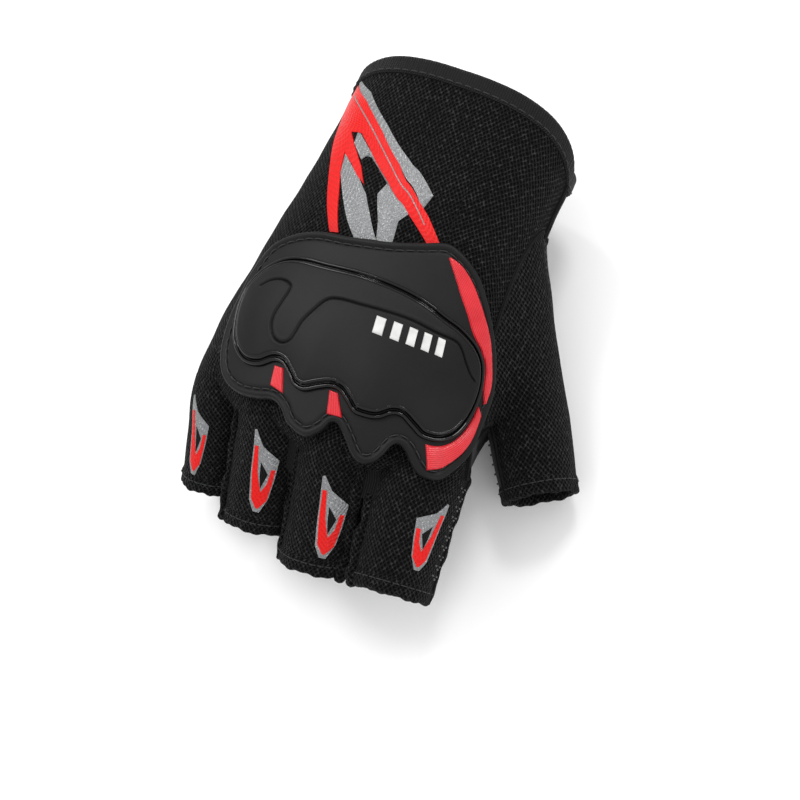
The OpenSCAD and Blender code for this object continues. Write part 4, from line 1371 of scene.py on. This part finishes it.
RED_BANDS = [
    [[(153, -1), (130, 4.5), (119, 8.5), (109.5, 12.5), (99.5, 18), (95, 20.5), (89.5, 25.5),
      (85, 29), (79, 32.5), (70.5, 38.5)],
     [(153, -1), (154, 4.5), (151.5, 9), (128.5, 15), (121, 14.5), (111.5, 18.5), (96, 26.5),
      (90.5, 30.5), (86, 34), (75.5, 40)]],
    [[(151.5, 9), (143.5, 17), (133.5, 25), (122.5, 34.5), (109, 46)],
     [(128.5, 15), (125.5, 21.5), (122, 27), (114.5, 35), (105, 45.5)]],
    [[(128.5, 15), (118, 20.5), (111, 24.5), (105, 29.5)],
     [(125.5, 21.5), (117, 24.5), (110.5, 27.5), (104.5, 29.6)]],
]
GREY_BANDS = [
    [[(159, -4), (130.5, 1.5), (108, 10.5), (93, 18), (84, 24), (81, 26), (82.5, 30.5)],
     [(150, -0.5), (128, 5.5), (108.5, 13), (95, 20.5), (86.5, 27.5), (85, 29), (83, 30.5)]],
    [[(123.5, 14), (117, 16.5), (111, 19), (102.5, 22.5), (95, 27), (90.5, 30.5), (86.5, 33.5),
      (88.5, 36.5), (87.5, 43.5)],
     [(123.5, 14), (122.5, 18), (113, 22.5), (110.5, 20), (102.5, 23.5), (96, 27), (97.5, 31),
      (93, 38.5), (91, 44)]],
    [[(124.5, 22), (121, 28), (110.5, 36), (103.5, 41.5), (98, 45.5)],
     [(124, 22), (109, 28), (102, 32), (97, 37), (91, 44)]],
]
PALE_LINE = [(147, 3), (131, 7.2), (119, 11.2), (108, 16), (98.5, 21.2), (91.5, 26), (85.5, 30.6),
             (79.5, 35)]


def print_line():
    """Thin pale line down the middle of the long red band."""
    line = spline(np.array(PALE_LINE, float), np.linspace(0, len(PALE_LINE) - 1, 90))
    sides = np.linspace(-0.2, 0.2, 3)
    angle, s = line[:, :1] + 0 * sides, line[:, 1:] + sides
    piece = slab("wrist_print_line", wrist_cloth(angle, s, 0.37), wrist_cloth(angle, s, 0.1), [GREY])
    finish_piece(piece, "hand", "print_grey")


for count, edges in enumerate(RED_BANDS):
    print_band(f"wrist_print_red_{count + 1}", edges, RED, "print_red", ["wrist_print_red"], 0.3)
for count, edges in enumerate(GREY_BANDS):
    print_band(f"wrist_print_grey_{count + 1}", edges, GREY, "print_grey", ["wrist_print_grey"], 0.2)
print_line()

# Mark on a stall as (distance round towards the thumb side, distance past the root)
MARK_FIELD = [
    [(1.1, 0.3), (1.3, 4), (1.6, 8), (2, 14), (2.6, 20.5), (4.3, 23.8)],
    [(1.8, 0), (4.5, 4), (9.9, 7.4), (9.3, 13.5), (8.3, 19.5), (6.2, 23.9)],
]
MARK_STRIPES = [
    [[(1.8, 4.2), (2.3, 12), (3.2, 20), (4.9, 22.6)], [(3, 4.2), (4, 12), (5.6, 17.5), (5.6, 22.8)]],
    [[(9.2, 10.5), (8.7, 15), (7.9, 20), (5.6, 22.8)], [(7.9, 10.5), (7.2, 15), (5.6, 17.8), (5.6, 22.8)]],
]
MARK_SLOT = [[(4.5, 8.8), (4.8, 13), (5.4, 16.5)], [(4.6, 8.8), (7.1, 12), (5.5, 16.5)]]
# Each finger's mark: where it starts round and along the stall, and its width and length
MARK_PLACES = [(15.8, 0.8, -1, 0.85), (0, 0, 1, 1), (-2.1, -4.2, 0.95, 1), (-6.8, -3.6, 0.8, 1)]


def finger_mark(finger, place):
    """Plain pointed mark on a stall: a grey field, two red stripes that meet, a dark slot."""
    round_start, start, wide, long = place

    def film(name, edges, material, slot, nodes, low, high):
        grid = between(*(straight(edge, 61) for edge in edges), 12)
        turn = 90 - np.degrees((round_start + wide * grid[..., 0]) / finger.radius)
        s = finger.root + start + long * grid[..., 1]
        piece = slab(name, stall_skin(finger, turn, s, high), stall_skin(finger, turn, s, low),
                     [material])
        finish_piece(piece, finger.name, slot, nodes, bend=finger)

    name = finger.name
    film(name + "_mark_grey", MARK_FIELD, GREY, "print_grey", [name + "_mark_grey"], 0.0, 0.3)
    for count, edges in enumerate(MARK_STRIPES):
        film(f"{name}_mark_red_{count + 1}", edges, RED, "print_red", [name + "_mark_red"], 0.1, 0.4)
    film(name + "_mark_slot", MARK_SLOT, KNIT, "fourchette", [], 0.1, 0.36)


for finger, place in zip(FINGERS, MARK_PLACES):
    finger_mark(finger, place)

# ---------------------------------------------------------------- palm patch, grips and wrist tab

PATCH_OUTLINE = [
    (-60, 62), (-55, 76), (-64, 88), (-82, 92), (-104, 91), (-124, 86),
    (-136, 76), (-134, 58), (-120, 47), (-98, 43), (-76, 47),
]


def palm_patch():
    """Second layer of suede on the palm, with its stitches and rows of silicone grips."""
    outline = closed_curve(PATCH_OUTLINE, 1.0)
    middle = np.array((-96.0, 68.0))
    size = np.concatenate([[1.0, 0.995, 0.985], np.linspace(0.97, 0.03, 34)])
    rise = np.concatenate([[0.45, 0.8, 0.95], np.full(34, 1.0)])
    grid = middle + size[:, None, None] * (outline - middle)[None]
    top = wrist_cloth(grid[..., 0], grid[..., 1], rise[:, None])
    under = wrist_cloth(grid[..., 0], grid[..., 1], 0.05)
    finish_piece(slab("palm_patch", top, under, [SUEDE], wrap=True), "hand", "palm_suede",
                 ["palm_patch"])
    line = middle + 0.95 * (outline - middle)
    lift = wrist_cloth(line[:, 0], line[:, 1], 2.0) - wrist_cloth(line[:, 0], line[:, 1], 0.0)
    stitches("patch_stitches", wrist_cloth(line[:, 0], line[:, 1], 1.08), lift, "hand",
             (2.0, 1.0, 0.22), 0.17)
    bars = []
    for row in range(5):
        s = 54 + 7.5 * row
        angle = np.linspace(-70, -122, 60)
        wave = 1.6 * np.sin(np.radians(angle + 68) * 6)
        bars.append(wrist_cloth(angle, s + wave, 1.05))
    finish_piece(tubes("palm_grips", bars, [0.75] * 5, SILICONE, 10), "hand", "silicone",
                 ["palm_grips"])


palm_patch()


def grip_dots(name, point, body, bend, turns, rows):
    """Rows of small silicone dots on the gripping edge of a stall."""
    dots = []
    for row, turn in enumerate(turns):
        for along in rows + (0.9 if row % 2 else 0.0):
            lifts = np.array([0.05, 0.3])
            dots.append(point(turn, along, lifts))
    piece = tubes(name, dots, [0.34] * len(dots), SILICONE, 8)
    finish_piece(piece, body, "silicone", bend=bend)


INDEX = FINGERS[0]
grip_dots("index_dots", lambda turn, along, lift: stall_skin(INDEX, turn, INDEX.root + along, lift),
          "index", INDEX, (-12, -3, 6), np.arange(-5.0, 24.0, 2.9))
grip_dots("thumb_dots", thumb_cloth, "thumb", THUMB, (178, 188, 198), np.arange(1.0, 16.0, 2.9))

LOOP_TOP, HOOK_LOW, HOOK_TOP, TAB_LOW, TAB_TOP = 1.0, 1.35, 2.05, 2.2, 3.8
TAB_CENTRE, TAB_HALF = 20.0, 10.0


def tab_slab(name, start, end, low, high, half, rounding, material, body, slot, edge=0.5):
    k = np.linspace(0, 1, 90)[:, None]
    side = np.linspace(-1, 1, 31)[None, :]
    reach = half * np.sqrt(1 - np.clip((k - 1 + rounding) / rounding, 0, 1) ** 2 * 0.75)
    gap = np.minimum((1 - np.abs(side)) * reach, np.minimum(k, 1 - k) * 40)
    roll = edge * edge_drop(gap, edge + 0.2)
    angle = mix(start, end, k) + 0 * side
    s = TAB_CENTRE + side * reach
    piece = slab(name, hand_point(angle, s, high - roll), hand_point(angle, s, low + roll * 0.4),
                 [material])
    return finish_piece(piece, body, slot, [name])


def wrist_tab():
    tab_slab("tab_anchor", -176, -151.5, 0.1, TAB_TOP, TAB_HALF, 0.01, ELASTIC, "hand", "elastic")
    tab_slab("wrist_tab", -148.5, -64, TAB_LOW, TAB_TOP, TAB_HALF, 0.16, ELASTIC, "tab", "elastic")
    tab_slab("hook_patch", -86, -68, HOOK_LOW, HOOK_TOP, TAB_HALF - 3, 0.01, HOOKS, "tab",
             "hook_loop", 0.3)
    tab_slab("loop_patch", -128, -62, 0.05, LOOP_TOP, TAB_HALF - 2, 0.01, HOOKS, "hand",
             "hook_loop", 0.3)


wrist_tab()
